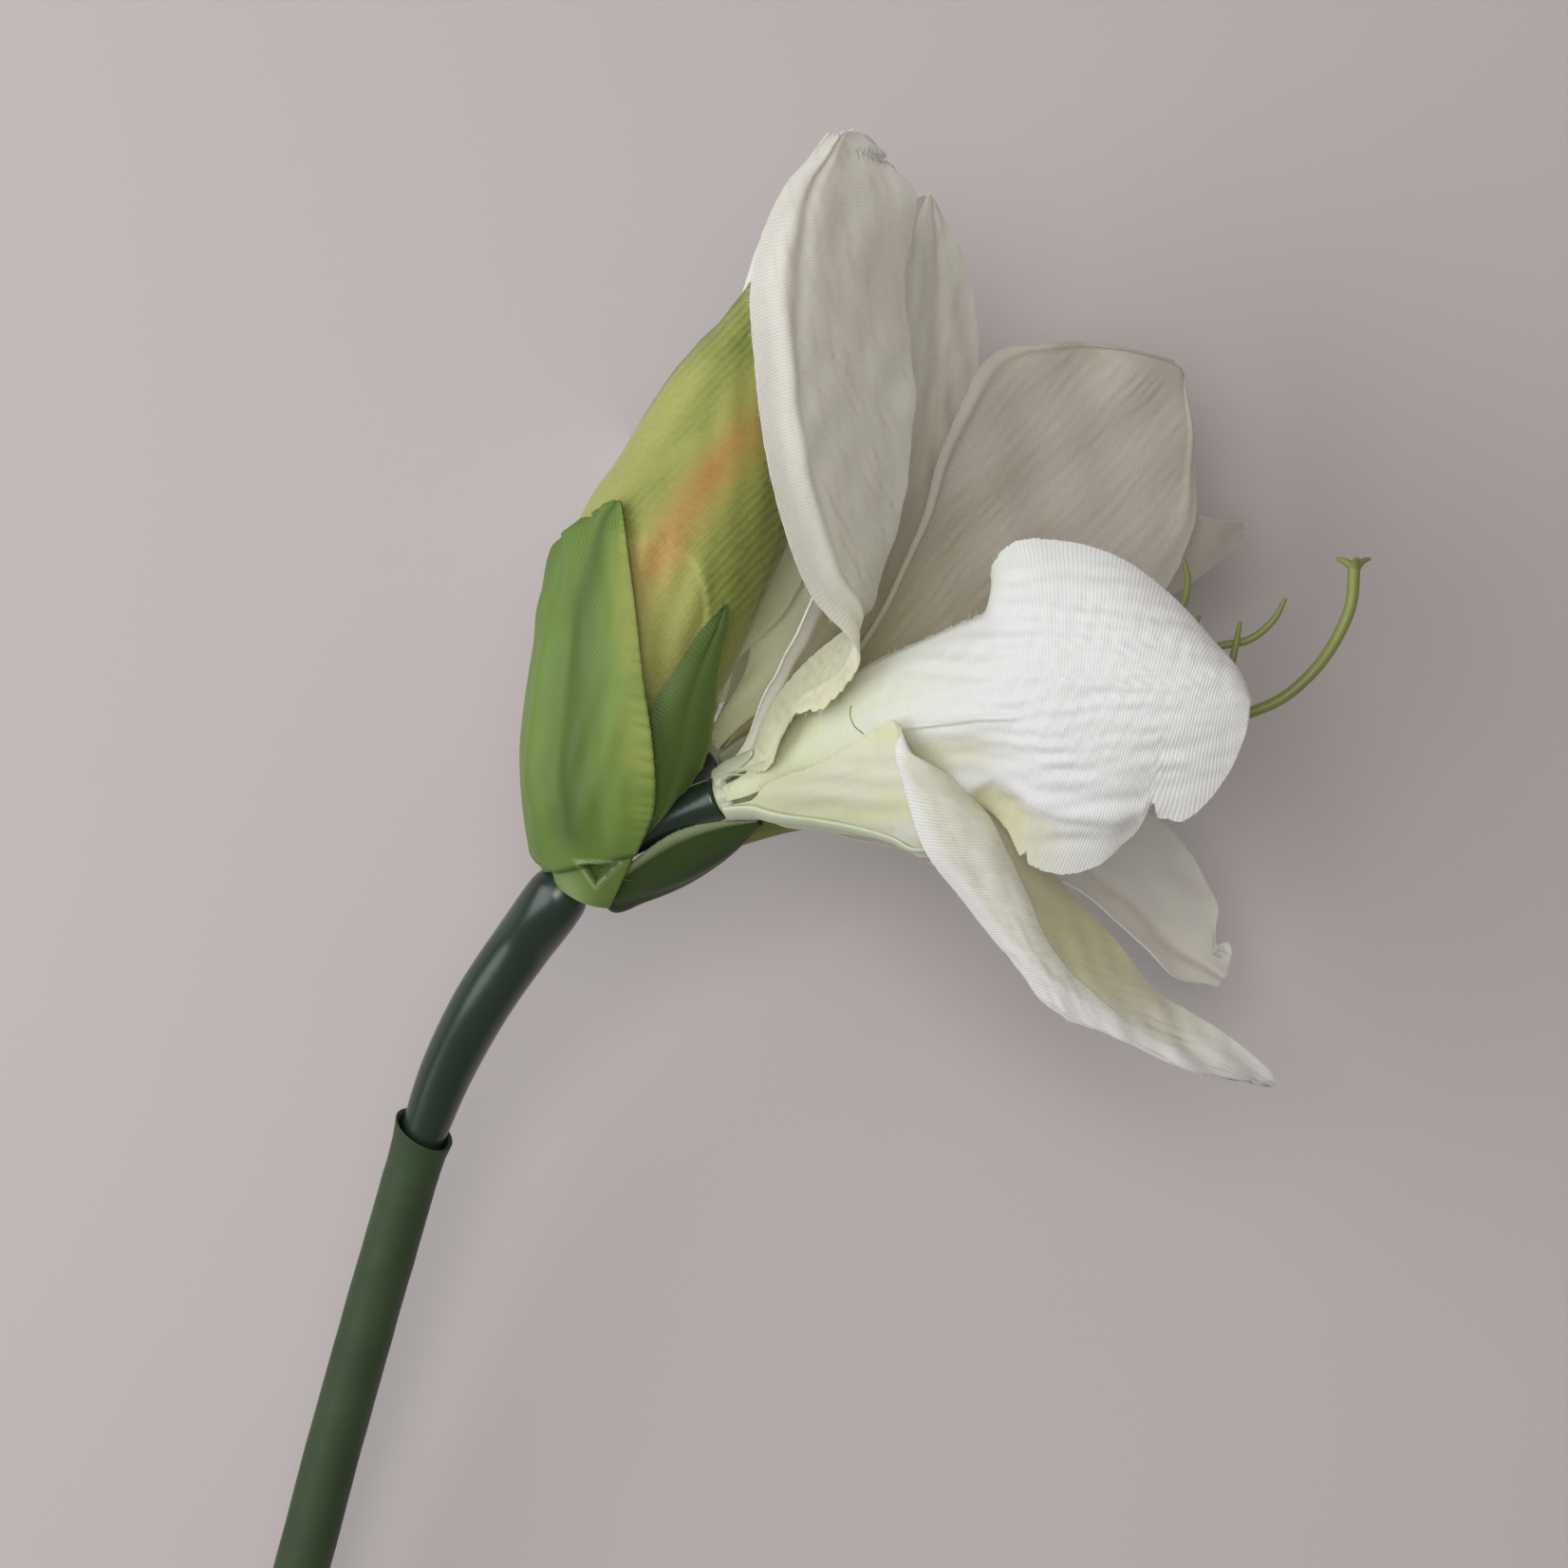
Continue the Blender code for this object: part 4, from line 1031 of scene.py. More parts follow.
# %% Bud shape
BUD_ROUTE = [(-37.7, -3.9, 112), (-35.5, 6, 112), (-31.5, 20, 112), (-28, 37, 112), (-23, 56, 112),
             (-16, 73, 112), (-10, 92, 113), (-5, 104, 114), (-2, 115, 114), (-1.5, 124, 115)]
BUD_RADII = [4.4, 9.8, 17.6, 22.5, 24.8, 21.2, 14.5, 7.6, 3.6, 2.2]
BUD_TURN = 70                               # degrees that a wrap turns from base to tip


def bud_station(t):
    """Where along the bud's line a wrap's t lies: the wraps stop just short of both ends."""
    return 0.02 + 0.97 * t


def bud_radius(t):
    """The bud's radius at t, smooth through the given radii."""
    return along([(13.0 * k, radius) for k, radius in enumerate(BUD_RADII)], t)[..., 1]


def bud_wrap(start):
    """A wrap's surface; its middle stands at an angle, in degrees, halfway up the bud."""
    def surface(s, t):
        station = bud_station(t)
        radius = bud_radius(station)
        full = np.clip((radius - 15) / 6, 0, 1)
        half = 51 + 7.8 * np.minimum(1, radius / 9) + 21 * full
        angle = np.radians(start + BUD_TURN * (station - 0.5) + half * s)
        depth = radius * (1 - 0.10 * np.clip((1 + s) / 2, 0, 1)) - 0.4
        centre = along(BUD_ROUTE, station)
        return centre + np.stack([np.cos(angle) * depth, 0 * angle, np.sin(angle) * depth], -1)
    return surface


print("the bud is at most", round(2 * float(bud_radius(np.linspace(0, 1, 50)).max()), 1), "mm thick")

# %% [markdown]
# The print is worked out from where a place stands round the bud and up it, and not from the sheet, so
# it runs on across the overlaps. Off is the angle from the middle of the blush.

# %% Bud print


def flap_edge(y):
    """Where the right margin of the lower flap lies, across the picture, at a height up the picture."""
    return np.interp(y, [20, 33, 38, 43, 48, 51.5, 53.2], [-17.5, -16.7, -16.5, -17.1, -19.1, -22.6, -27.7])


def bud_dye(s, t, p):
    """Blush, streaks and yellow by the place round the bud; the print comes twice round it."""
    centre = along(BUD_ROUTE, bud_station(t))
    angle = np.degrees(np.arctan2(p[:, 2] - centre[:, 2], p[:, 0] - centre[:, 0]))
    y = p[:, 1]
    middle = 95 - (y - 46) * 0.64
    off = (angle - middle + 90) % 180 - 90
    blush = bump(off, 0, 13) * (0.7 * bump(y, 66, 13) + 0.55 * bump(y, 48, 8))
    blush = blush + 0.3 * bump(off, -18, 16) * bump(y, 78, 10)
    right = ramp(off, -12, -36) * ramp(y, 26, 44)
    left = bump(off, 30, 13) * (0.5 + 0.5 * wander(y / 5 + angle / 20, 92)) * ramp(y, 30, 50)
    top = ramp(y, 84, 100)
    yellow = 0.8 * ramp(off, 34, 56) + 0.7 * ramp(y, 54, 36) * ramp(off, -45, -20)
    streak = np.clip(0.9 * right + 0.7 * left + 0.7 * top, 0, 1)
    edge = bump(p[:, 0], flap_edge(y) - 0.1, 0.45) * ramp(y, 54, 52)
    inside = ramp(p[:, 0], flap_edge(y) + 0.4, flap_edge(y) - 0.4) * ramp(y, 54, 52) * ramp(p[:, 2], 118, 126)
    streak = streak * (1 - 0.8 * inside)
    return np.stack([blush * (1 - 0.5 * edge), streak, np.maximum(yellow, 0.9 * inside + edge)], -1)


sample = np.array([(-20.0, 60.0, 136.0)])
amounts = bud_dye(np.zeros(1), np.full(1, 0.5), sample)[0]
print("blush, streaks and yellow on the bud's face:", np.round(amounts, 2))

# %% [markdown]
# The three sheets are alike but for their reach. The one that faces the camera is the finest, laps far
# over its neighbour and carries a lower flap with a rounded corner.

# %% Bud wraps


def soft_dents(t, p):
    """Shallow dents all over a wrap, always inwards."""
    return 0.2 * (1 + puckers(p, 75, 9, 3, 93)) * ramp(t, 0.05, 0.3)


def near_wrap_relief(s, t, p):
    """A lower flap of the wrap that faces the camera lies over it, with a rounded upper corner."""
    x, y = p[:, 0], p[:, 1]
    flap = ramp(x, flap_edge(y) + 0.35, flap_edge(y) - 0.35) * ramp(y, 53.8, 52.4) * ramp(x, -31, -26)
    return 0.75 * flap * ramp(t, 0.1, 0.2) - soft_dents(t, p)


def side_wrap_relief(s, t, p):
    return -0.35 - soft_dents(t, p)


def near_wrap_outline(s, t):
    """The wrap that faces the camera reaches far over its neighbour."""
    return np.where(s < 0, 1.5, 1.1)


def side_wrap_outline(s, t):
    """The wrap to its left ends before it comes into view."""
    return np.where(s < 0, 0.72, 1)


WRAP_OUTLINES = (near_wrap_outline, side_wrap_outline, None)

for wrap, outline in enumerate(WRAP_OUTLINES):
    near = wrap == 0
    cloth(f"bud_petal_{wrap + 1}", bud_wrap(150 + 120 * wrap), BUD_CLOTH,
          columns=130 if near else 70, rows=150 if near else 90,
          relief=near_wrap_relief if near else side_wrap_relief,
          outline=outline, dye_and_shade=bud_dye, fray=0.003, seed=94 + wrap, skew=-0.5)

# %% [markdown]
# The bracts are the papery green leaves that once held the bud. Here they are satin twill, dyed darker
# in streaks, with yellow where the dye ran thin along a margin.

# %% Bract cloth
BRACT_GREEN = colour(0.170, 0.285, 0.052)
BRACT_DARK = colour(0.024, 0.046, 0.013)
BRACT_YELLOW = colour(0.36, 0.36, 0.07)
BRACT_PALE = colour(0.42, 0.50, 0.28)
BRACT_PAINTED_HIGHLIGHT = colour(0.28, 0.40, 0.11)


def bract_material():
    """Satin twill: green, dark streaks, dark, yellow and pale dyes, painted highlight and shade on its ribs.
    """
    made, tree, shader = material(
        "bract_cloth_green", roughness=0.50, Sheen_Weight=0.1, Sheen_Roughness=0.35,
        Specular_IOR_Level=0.3, Sheen_Tint=colour(0.8, 0.95, 0.45))
    height, _, uv = weave(tree, 0.78, 0.80, 0.25)
    dye_and_shade = dye_and_shade_amounts(tree)
    stretched = add(tree, "Mapping", Vector=uv, Scale=(190.0, 32.0, 1.0)).outputs["Vector"]
    streaks = noise(tree, stretched, 1.0, 4.0)
    tone = mix(tree, times(tree, streaks, 0.42), BRACT_GREEN, BRACT_DARK)
    # The dark amount is dye and, on some bracts, painted shade.
    for amount, tint in (("Y", BRACT_DARK), ("X", BRACT_YELLOW), ("Z", BRACT_PALE)):
        tone = mix(tree, clamp(tree, dye_and_shade[amount]), tone, tint)
    # Painted highlight on the tops of the twill ribs.
    rib_painted_highlight = times(tree, calc(tree, "SUBTRACT", 1.0, dye_and_shade["Y"]), 0.14)
    tone = mix(tree, times(tree, height, rib_painted_highlight), tone, BRACT_PAINTED_HIGHLIGHT)
    # Painted shade between the twill ribs.
    tone = mix(tree, times(tree, calc(tree, "SUBTRACT", 1.0, height), 0.13), tone, BRACT_DARK)
    cloth_surface(tree, shader, tone, (height, 0.8, 0.06), (streaks, 0.5, 0.4))
    return made


BRACT_CLOTH = bract_material()

# %% [markdown]
# Four bracts leave the head of the stem: a large one on the left, a narrow one beside it, one that
# points right under the front bloom's neck, and one behind. Each is a blade, as the petals are.

# %% Bract shapes
bract_left = blade(
    left=[(-55.6, -17, 109), (-57, -9, 104), (-58, 6, 103), (-57, 18, 104), (-55, 31, 106), (-53, 43, 110),
          (-50.5, 52, 117), (-37, 61, 131)],
    mid=[(-48, -24.7, 117.2), (-51, -13, 121), (-52, -1, 124), (-51, 14, 126), (-49, 28, 128), (-46, 42, 129),
         (-41.5, 54, 131), (-36, 61, 133)],
    right=[(-38, -28, 115), (-32, -15, 124), (-28, -5, 130), (-28, 7, 135), (-30, 22, 137), (-32, 40, 138),
           (-34, 54, 136), (-35, 61, 134)])
bract_right = blade(
    left=[(-39, -18, 119), (-32, -7, 125), (-31, 5, 130), (-28, 17, 133), (-23, 25, 134), (-17, 34, 135),
          (-13, 38, 135)],
    mid=[(-36, -16, 120.3), (-27, -7, 124), (-23, 5, 128), (-20, 18, 132), (-17, 27, 133), (-14, 34, 134),
         (-12.5, 39, 134)],
    right=[(-33, -14, 121), (-26, -6, 122.9), (-18, 4, 120.4), (-15, 16, 125), (-14, 25, 129), (-12, 35, 132),
           (-11.5, 38, 133)])
bract_lower = blade(
    left=[(-42.8, -22.4, 104.5), (-38, -22.5, 101), (-30, -16, 99), (-21, -11, 100), (-13, -10, 105),
          (-5, -8, 113)],
    mid=[(-40.4, -24.4, 110), (-38, -28, 108), (-31, -26, 108), (-21, -22, 109), (-12, -16, 111),
         (-5, -9, 115)],
    right=[(-41.8, -23.9, 114.8), (-37, -20.5, 116), (-31.5, -15.5, 119), (-24, -10.6, 120.8),
           (-15, -8.2, 120.5), (-6, -7.8, 117)])
bract_behind = blade(
    left=[(-49.6, -16.7, 106), (-44, -20, 96), (-26, -14, 86), (-9, -9, 83), (5, -6, 84), (17, -8, 88)],
    mid=[(-47.6, -18.3, 104.4), (-43, -23, 98), (-27, -20, 91), (-10, -14, 89), (4, -10, 89), (16, -9, 90)],
    right=[(-45.3, -20, 104), (-41, -22, 100), (-27, -17, 97), (-10, -10, 97), (4, -7, 95), (15, -9, 92)])

for surface in (bract_left, bract_right, bract_lower, bract_behind):
    print("a bract ends at", surface(np.zeros(1), np.ones(1))[0])

# %% [markdown]
# The left bract is the largest. Its right margin is gathered into small ripples, its tip is torn in
# steps, and its base is folded into a tab with a pressed pocket where it was glued.

# %% Left bract


def tab_line(s):
    """Where the folded tab at the base begins."""
    return np.interp(s, [-1, -0.4, 0, 1], [0.035, 0.05, 0.07, 0.14])


def pocket(p):
    """A three-cornered pocket pressed into the tab: how far inside it a place lies, and its rim."""
    corners = np.array([(-44.6, -17.2), (-35.7, -17.2), (-41.1, -22.4)])
    depth = np.full(len(p), 9.0)
    for a, b in zip(corners, np.roll(corners, -1, 0)):
        along_side = unit(b - a)
        depth = np.minimum(depth, (p[:, 0] - a[0]) * along_side[1] - (p[:, 1] - a[1]) * along_side[0])
    return ramp(depth, -0.2, 0.5), bump(depth, -0.3, 0.35)


def left_relief(s, t, p):
    """Gathers at the right margin, long soft folds, and the pleated tab at the base."""
    uneven = 0.5 + 0.5 * np.clip(0.5 + wander(t * 14, 112, 3), 0, 1)
    gathers = 0.45 * lines(t * 34 + 0.9 * wander(t * 9, 101), 1) * ramp(s, 0.80, 0.99)
    gathers = gathers * ramp(t, 0.12, 0.25) * uneven
    folds = 0.45 * puckers(p, 88, 10, 4, 102) * ramp(t, 0.1, 0.3) * ramp(np.abs(s), 0.95, 0.7)
    groove = -0.9 * bump(s, 0.16, 0.13) * between(t, 0.12, 0.3, 0.9, 0.6)
    ridge = 0.9 * bump(s, -0.18, 0.12) * between(t, 0.12, 0.3, 0.9, 0.6)
    tab = -1.5 * ramp(t, tab_line(s), tab_line(s) - 0.010) - 1.5 * pocket(p)[0] + 0.5 * pocket(p)[1]
    hole = -2.2 * bump(s, -0.5, 0.10) * bump(t, 0.03, 0.02)
    return 0.4 + gathers + folds + groove + ridge + tab + hole


def left_dye_and_shade(s, t, p):
    yellow = 0.75 * bump(s, 0.9, 0.16) * ramp(t, 0.14, 0.3) * (0.5 + 0.5 * wander(t * 9, 103))
    # Painted shade beside the groove and inside the pressed pocket.
    dark = 0.50 * bump(s, 0.30, 0.22) * ramp(t, 0.1, 0.2) + 0.45 * pocket(p)[0]
    # A painted shade line along the tab's fold.
    dark = dark + 0.5 * bump(t, tab_line(s), 0.008)
    # Darker at both cut edges and towards the base; the left side is darker with painted shade.
    dark = dark + 0.9 * ramp(np.abs(s), 0.985, 1.0) + 0.25 * ramp(s, -0.5, -1) + 0.22 * ramp(t, 0.45, 0.10)
    pale = 0.30 * ramp(t, 0.10, 0.02) * bump(s, 0.1, 0.5) + 0.5 * pocket(p)[1]
    return np.stack([yellow, np.clip(dark, 0, 1), pale], -1)


def left_outline(s, t):
    """The torn left side of the tip, in steps."""
    steps = 0.13 * bump(t, 0.875, 0.008) + 0.18 * bump(t, 0.912, 0.008) + 0.25 * bump(t, 0.948, 0.007)
    return 1 - np.where(s < 0, steps + 0.7 * ramp(t, 0.965, 1.0), 0)


cloth("bract_left", bract_left, BRACT_CLOTH, columns=80, rows=180, relief=left_relief,
      outline=left_outline, dye_and_shade=left_dye_and_shade, fray=0.004, seed=104, threads=40)

# %% [markdown]
# The other three are plainer. The narrow one is gathered along its frayed right margin, and the two
# small ones only wave a little. The lower one, which lies in shade, is dark all over with painted shade.

# %% Other bracts


def right_relief(s, t, p):
    """Gathers along the right margin and a hollow down the middle."""
    gathers = 0.35 * lines(t * 12 + 0.3 * wander(t * 11, 105), 1) * ramp(s, 0.5, 1)
    return gathers - 0.5 * bump(s, 0, 0.2)


def right_dye(s, t, p):
    dark = 0.50 + 0.4 * ramp(np.abs(s), 0.95, 1) * ramp(t, 0.5, 0.8)
    return np.stack([0.5 * ramp(s, 0.75, 1), dark, 0.25 * ramp(s, 0.93, 1)], -1)


# Painted shade: the lower bract gets the dark tint all over, with a pale rim.
def lower_painted_shade(s, t, p):
    return np.stack([0 * s, 1 - 0.12 * ramp(s, 0.3, 0.6), 0.7 * ramp(s, 0.88, 0.95)], -1)


def behind_dye(s, t, p):
    return np.stack([0.55 + 0 * s, 0.25 + 0 * s, 0.15 * ramp(s, 0.7, 1)], -1)


cloth("bract_right", bract_right, BRACT_CLOTH, columns=50, rows=100, relief=right_relief,
      dye_and_shade=right_dye, fray=lambda s, t: 0.008 + 0.035 * ramp(s, 0, 0.5), seed=106, threads=90)
cloth("bract_lower", bract_lower, BRACT_CLOTH, columns=50, rows=80, dye_and_shade=lower_painted_shade,
      relief=lambda s, t, p: 0.5 * wander(s * 4 + t * 3, 108, 3), fray=0.006, seed=107, threads=24)
cloth("bract_behind", bract_behind, BRACT_CLOTH, columns=40, rows=70, dye_and_shade=behind_dye,
      relief=lambda s, t, p: 0.4 * wander(s * 4 + t * 4, 110, 3), fray=0.02, seed=109, threads=24)

# %% [markdown]
# The moulded pieces are round in section. A rod starts as a grid that is rolled up round a smooth
# route, its seam is merged and its ends are closed. That keeps every ring square to the route.

# %% Rods


def rolled(name, centre, radial, sides, rings):
    """Rolls a grid up to a closed tube: centre and radial give a place from ring share and angle."""
    deselect()
    bpy.ops.mesh.primitive_grid_add(x_subdivisions=sides, y_subdivisions=rings, size=2)
    piece = bpy.context.object
    piece.name = name
    flat = np.empty(len(piece.data.vertices) * 3)
    piece.data.vertices.foreach_get("co", flat)
    angle, t = flat.reshape(-1, 3)[:, 0] * pi, (flat.reshape(-1, 3)[:, 1] + 1) / 2
    place = centre(t) + radial(t, angle)
    piece.data.vertices.foreach_set("co", ((place + FLOWER) * MM).ravel())
    bpy.ops.object.mode_set(mode="EDIT")
    bpy.ops.mesh.select_all(action="SELECT")
    bpy.ops.mesh.remove_doubles(threshold=0.002 * MM)
    bpy.ops.mesh.fill_holes(sides=0)
    bpy.ops.mesh.normals_make_consistent(inside=False)
    bpy.ops.object.mode_set(mode="OBJECT")
    bpy.ops.object.shade_smooth_by_angle(angle=radians(60))
    return piece


def square_axes(route, t, upright=(0, 0, 1)):
    """The direction along the route at t and two directions square to it."""
    ahead = unit(along(route, np.minimum(t + 0.01, 1)) - along(route, np.maximum(t - 0.01, 0)))
    side = unit(np.cross(ahead, np.asarray(upright, float)))
    return ahead, side, np.cross(side, ahead)


def rod(name, route, radii, sides=24, rings=60, wide=1.0, upright=(0, 0, 1), dent=None):
    """A rod along a route; wide over 1 makes it a flat strip, and dent moves its skin in or out."""
    def radial(t, angle):
        ahead, side, up = square_axes(route, t, upright)
        radius = along([(10.0 * k, r) for k, r in enumerate(radii)], t)[..., 1]
        if dent:
            radius = radius + dent(t, angle)
        return side * (np.cos(angle) * radius * wide)[:, None] + up * (np.sin(angle) * radius)[:, None]
    return rolled(name, lambda t: along(route, t), radial, sides, rings)


upwards = square_axes([(0, 0, 0), (0, 9, 0)], np.zeros(1))
print("a rod that runs up the picture has its width along", np.round(upwards[1][0], 2))

# %% [markdown]
# A casting has no seams where its arms meet. Rods that overlap are joined into one object, and a voxel
# remesh melts them together; a few rounds of smoothing then soften the inner corners.

# %% Join and melt
MELT_SOFTNESS = 0.5


def join(pieces, name):
    """Makes one object of several."""
    deselect()
    for piece in pieces:
        piece.select_set(True)
    bpy.context.view_layer.objects.active = pieces[0]
    if len(pieces) > 1:
        bpy.ops.object.join()
    joined = bpy.context.object
    joined.name = name
    return joined


def melt(piece, voxel, smooth=6):
    """Melts overlapping rods into one casting with soft inner corners."""
    remesh = piece.modifiers.new("Melt", "REMESH")
    remesh.mode = "VOXEL"
    remesh.voxel_size = voxel * MM
    soften = piece.modifiers.new("Soften", "SMOOTH")
    soften.factor = MELT_SOFTNESS
    soften.iterations = smooth
    apply_all(piece)
    deselect()
    piece.select_set(True)
    bpy.ops.object.shade_smooth()
    print(piece.name, "melted at", voxel, "mm")
    return piece


# %% [markdown]
# The stem is plastic over a steel wire. Its lower part is matt grey-green and slightly uneven; its upper
# part is a glossy dark casting that also carries the bud and both blooms.

# %% Stem plastics


def plastic(name, base, shade, roughness, grain=0.02, **inputs):
    """Moulded plastic, a little uneven in tone and gloss."""
    made, tree, shader = material(name, roughness=roughness, **inputs)
    place = add(tree, "TexCoord").outputs["Object"]
    cloud = noise(tree, place, 60.0, 4.0)
    fine = noise(tree, place, 900.0, 2.0)
    tree.links.new(mix(tree, cloud, base, shade), shader.inputs["Base Color"])
    tree.links.new(scaled(tree, cloud, 0.16, roughness - 0.08), shader.inputs["Roughness"])
    skin = add(tree, "Bump", Strength=0.5, Distance=grain * MM, Height=fine)
    tree.links.new(skin.outputs["Normal"], shader.inputs["Normal"])
    return made


STEM_MATT = plastic("stem_plastic_matt", colour(0.050, 0.085, 0.034), colour(0.026, 0.046, 0.024),
                    0.50, 0.04, Specular_IOR_Level=0.3)
STEM_GLOSS = plastic("stem_plastic_gloss", colour(0.009, 0.023, 0.014), colour(0.016, 0.036, 0.021),
                     0.30, 0.02, Coat_Weight=0.3, Coat_Roughness=0.25)
WIRE = plastic("wire_bare_steel", colour(0.55, 0.55, 0.56), colour(0.42, 0.42, 0.43), 0.38, 0.01,
               Metallic=1.0)
FOAM = plastic("bud_core_foam", colour(0.78, 0.78, 0.70), colour(0.66, 0.66, 0.58), 0.9, 0.08)

# %% [markdown]
# The lower stem ends in a socket with a slanted rim. One rolled grid makes the outside, the rim, the
# inside and the socket's floor: its rings run up the outside and turn back down inside.

# %% Lower stem
STEM_ROUTE = [(-177, -435, 6.72), (-160, -365, 20), (-144, -300, 33), (-129, -240, 44), (-113.5, -185, 55),
              (-102.2, -145, 64), (-93.2, -115, 72), (-86.4, -93, 79), (-82, -79, 84)]
joint = np.array(STEM_ROUTE[-1], float)
ahead = unit(joint - along(STEM_ROUTE, 0.97))
LEFT = unit(np.cross((0, 0, 1), ahead))
OUTSIDE, RIM, INSIDE = 0.80, 0.86, 0.97     # shares of the rings
SOCKET_DEPTH = 14


def stem_centre(t):
    """Up the route to the joint, on past it to the rim, back down the socket and across its floor."""
    up = along(STEM_ROUTE, np.clip(t / OUTSIDE, 0, 1))
    down = np.interp(t, [RIM, INSIDE], [0, -SOCKET_DEPTH])
    return np.where((t < RIM)[:, None], up, joint + down[:, None] * ahead)


def stem_radial(t, angle):
    taper = np.interp(t / OUTSIDE, [0, 0.85, 0.93, 0.97, 1.0], [6.8, 6.3, 6.3, 6.5, 7.0])
    rim = np.interp(t, [OUTSIDE, 0.82, 0.84, RIM, INSIDE, 1.0], [7.0, 7.05, 6.7, 6.2, 5.6, 0.02])
    radius = np.where(t < OUTSIDE, taper, rim)
    uneven = 0.12 * wander(t * 55, 121, 3) * np.cos(angle - 1)
    uneven = uneven + 0.08 * wander(t * 80, 122, 3) * np.sin(2 * angle)
    radius = radius + uneven * ramp(t, OUTSIDE, 0.7)
    _, side, up = square_axes(STEM_ROUTE, np.clip(t / OUTSIDE, 0, 1))
    direction = np.cos(angle)[:, None] * side + np.sin(angle)[:, None] * up
    slant = radius * (0.24 * direction @ LEFT - 0.12 * np.sin(angle))
    slant = slant * ramp(t, 0.74, OUTSIDE) * ramp(t, 0.99, 0.93)
    lip = np.interp(t, [OUTSIDE, 0.83, RIM], [0, 0.5, 0])
    return direction * radius[:, None] + ahead * (slant + lip)[:, None]


lower_stem = rolled("stem_lower_fine", stem_centre, stem_radial, 40, 300)
dress(lower_stem, "stem_lower", STEM_MATT)

# %% [markdown]
# The upper stem is one casting: a stalk, a plug that sits in the socket, a knob under the bud and a neck
# for each bloom. The rods overlap, and a voxel remesh melts them together.

# %% Upper stem
UPPER_ROUTE = [(-82, -79, 84), (-76.4, -65, 88.7), (-68.6, -50.6, 95), (-58.5, -35.8, 102), (-50, -24.5, 109)]
KNOB_ROUTE = [(-50, -24, 109), (-44.5, -17, 110.5), (-41, -10.5, 111.5), (-38, -4.7, 112)]
FRONT_NECK = [(-47, -20, 111), (-38, -13.5, 114.3), (-23, -6.3, 117.2), (-14, -3, 120)]
REAR_NECK = [(-44, -16, 109), (-37, -8, 103), (-24.2, -0.7, 95.3), (-19, 6, 90)]
plug = [joint - ahead * 13, joint + ahead * 3]
parts = [rod("stalk", UPPER_ROUTE + [(-46.6, -19.8, 109.8)], [5.3, 6.1, 6.6, 6.8, 6.9, 4.8], 48, 120,
             dent=lambda t, a: 0.25 * wander(t * 9, 123, 2) * np.cos(a - 2)),
         rod("plug", plug, [5.2, 5.2], 48, 12),
         rod("knob", KNOB_ROUTE, [5.4, 5.2, 4.2, 3.0], 40, 30),
         rod("front_neck", FRONT_NECK, [4.8, 4.7, 4.7, 4.9], 40, 40),
         rod("rear_neck", REAR_NECK, [4.8, 4.8], 40, 40)]
upper_stem = melt(join(parts, "stem_upper_fine"), 0.58)
dress(upper_stem, "stem_upper", STEM_GLOSS)

# %% [markdown]
# Each bloom has a calyx of milky plastic: a hub on the neck and three ribs that lie along the backs of
# petals. A rib is wide and flat at the hub and thins out as it goes.

# %% Calyxes
CALYX_MILKY = plastic("calyx_plastic_milky", colour(0.40, 0.44, 0.30), colour(0.56, 0.60, 0.46), 0.30, 0.02,
                      Subsurface_Weight=0.35, Subsurface_Radius=(1.2, 1.5, 0.9), Subsurface_Scale=0.002,
                      Coat_Weight=0.4, Coat_Roughness=0.2)
RIB_LENGTHS = (0.14, 0.30, 0.34)            # how far up each petal a rib runs


def rib_route(bloom, azimuth, surface, length, side):
    """From the hub along the back of a petal, beside its mid-rib."""
    stations = np.linspace(0.05, length, 10)
    beside = side * (1 - stations / length)
    stand_off = np.linspace(1.0, 0.7, len(stations))[:, None]
    back = surface(beside, stations) + outward_of(surface, beside, stations) * stand_off
    return [polar(bloom, azimuth, 4.6, 0.8)] + list(back)


def calyx(node, bloom, ribs, strands=()):
    zero = np.zeros(1)
    pieces = [rod("hub", [polar(bloom, 0, 0, 0.6), polar(bloom, 0, 0, 14)], [3.4, 2.0], 32, 20),
              rod("cup", [polar(bloom, 0, 0, 0.1), polar(bloom, 0, 0, 3.6)], [4.5, 4.7, 4.6, 4.2], 48, 12)]
    for (azimuth, surface, side), length in zip(ribs, RIB_LENGTHS):
        upright = outward_of(surface, zero + side, zero + 0.2)[0]
        route = rib_route(bloom, azimuth, surface, length, side)
        pieces.append(rod("rib", route, [1.1, 1.0, 0.85, 0.65, 0.35], 24, 60, wide=2.3, upright=upright))
    piece = melt(join(pieces, node + "_fine"), 0.3, 3)
    if strands:
        threads = [rod("strand", points, [0.22, 0.16, 0.10], 8, 14) for points in strands]
        piece = join([piece] + threads, node + "_fine")
    dress(piece, node, CALYX_MILKY)


HUB_STRANDS = ([(-14.6, 2.2, 126.8), (-10, 2.0, 130), (-5.5, 2.2, 133)],
               [(-13.8, -0.5, 127), (-13.2, 2.0, 128), (-12.9, 4.0, 127.6)],
               [(-13.6, 2.6, 127.2), (-9, 3.4, 131), (-4, 5.0, 133)])
calyx("front_calyx", FRONT, [(30, top_blade, 0), (281, far_blade, 0), (150, low_blade, 0.12)], HUB_STRANDS)
calyx("rear_calyx", REAR, [(REAR_PETALS[name][0], rear_blade(*REAR_PETALS[name]), 0)
                           for name in ("rear_petal_left", "rear_petal_near", "rear_petal_under")])

# %% [markdown]
# The pistil and the stamens are soft green plastic, drawn out thin. The pistil ends in a star of three
# lobes, and the stamens have lost their anthers, so they end in blunt points.

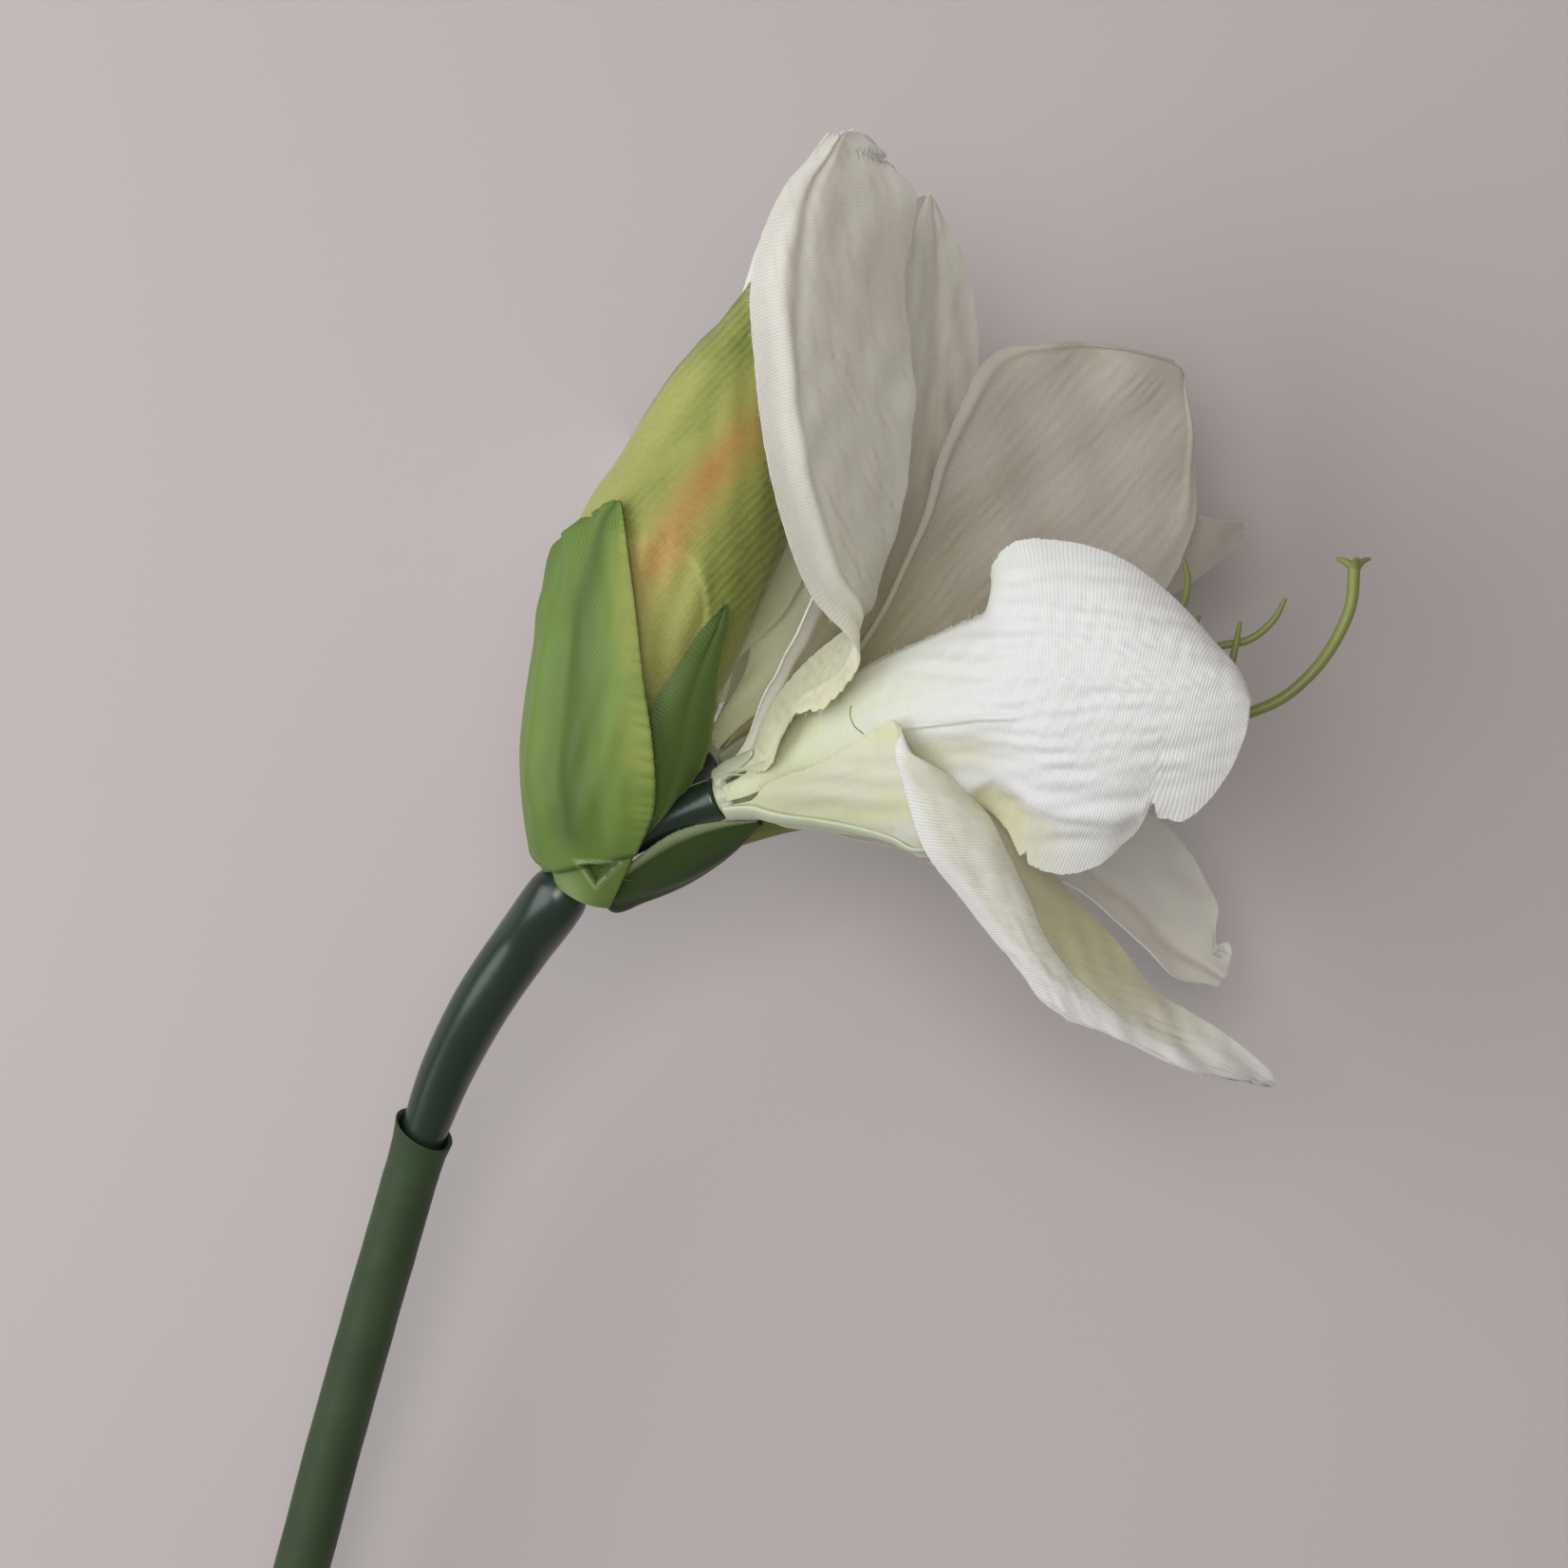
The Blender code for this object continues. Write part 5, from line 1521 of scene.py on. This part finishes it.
# %% Pistils and stamens
STAMEN_PLASTIC = plastic(
    "stamen_plastic_green", colour(0.20, 0.24, 0.065), colour(0.27, 0.30, 0.09), 0.42, 0.02,
    Subsurface_Weight=0.1, Subsurface_Radius=(0.8, 1.0, 0.3), Subsurface_Scale=0.001)
FRONT_PISTIL = [(56, 10, 131), (84, 11, 137), (99, 15, 139), (106, 18, 140), (113, 24, 141), (118, 31, 141),
                (121, 38, 141), (122, 47, 140)]
FRONT_STAMENS = [
    [(61, 19, 126), (85, 27, 130), (95, 30, 131), (100, 31, 132), (106, 36, 133), (108, 40, 134)],
    [(61, 14, 128), (87, 21, 132), (95, 23, 134), (97, 29, 135), (98, 35, 136)],
    [(54, 5, 126), (75, 4, 128), (87, 7, 131), (92, 13, 134)],
    [(57, 7, 118), (78, 9, 116), (91, 13, 116), (96, 19, 118)],
    [(57, 19, 116), (80, 26, 117), (88, 30, 118), (91, 37, 119)],
    [(53, 26, 119), (80, 33, 121), (87, 39, 122), (88, 45, 123), (87, 49, 124)],
]


def stamens(node, bloom, pistil, filaments):
    """Knob, pistil with its star, and six filaments, made one piece."""
    pieces = [rod("knob", [polar(bloom, 0, 0, 14.3), polar(bloom, 0, 0, 19)], [1.8, 3.1], 24, 8),
              rod("pistil", [polar(bloom, 0, 0, 17)] + pistil, [1.25, 1.2, 1.25, 1.35], 20, 110)]
    tip = np.array(pistil[-1], float)
    for k in range(3):
        angle = radians(90 + 120 * k)
        reach = np.array((cos(angle), 0, sin(angle)))
        route = [tip - (0, 1.2, 0), tip + reach * 1.8 + (0, 0.5, 0), tip + reach * 4.2 + (0, 1.3, 0)]
        pieces.append(rod("lobe", route, [1.1, 0.8, 0.35], 14, 14, upright=(0, 1, 0)))
    for k, filament in enumerate(filaments):
        azimuth = 30 + 60 * k
        root = [polar(bloom, azimuth, 2.0, 17.5), polar(bloom, azimuth, 2.6, 24)]
        pieces.append(rod("filament", root + filament, [0.75, 0.8, 0.85, 0.9, 0.8, 0.45], 14, 90))
    piece = join(pieces, node + "_fine")
    dress(piece, node, STAMEN_PLASTIC)


stamens("front_stamens", FRONT, FRONT_PISTIL, FRONT_STAMENS)
rear_pistil = [polar(REAR, 40, 2, 60), polar(REAR, 40, 6, 90), polar(REAR, 20, 14, 106)]
REAR_LINE = ((5, 45), (9, 72), (13, 88))    # radius and height of a filament's three points
rear_filaments = [[polar(REAR, 30 + 60 * k, radius, height) for radius, height in REAR_LINE]
                  for k in range(6)]
stamens("rear_stamens", REAR, rear_pistil, rear_filaments)

# %% [markdown]
# One short green thread from a bract has come loose and lies on the near petal.

# %% Loose green thread
CURL = [(14.2, 16.6, 149), (14.0, 14.6, 149.6), (14.8, 12.4, 149.6), (16.8, 10.6, 149)]
thread_curl = rod("green_thread", CURL, [0.12, 0.12], 8, 20)
thread_curl.data.materials.append(BRACT_CLOTH)
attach(thread_curl, "root")
print(thread_curl.name, "has", len(thread_curl.data.polygons), "faces")

# %% [markdown]
# The wire and the foam core are hidden, so the frame's own solids stay and only get their finish.

# %% Hidden pieces
for node, finish in (("stem_wire", WIRE), ("bud_core", FOAM)):
    solid = bpy.data.objects[node]
    solid.data.materials.clear()
    solid.data.materials.append(finish)
    print(node, "keeps its own solid")

# %% [markdown]
# Last, the view transform in use is printed.

# %% View transform
print("view transform:", bpy.context.scene.view_settings.view_transform)
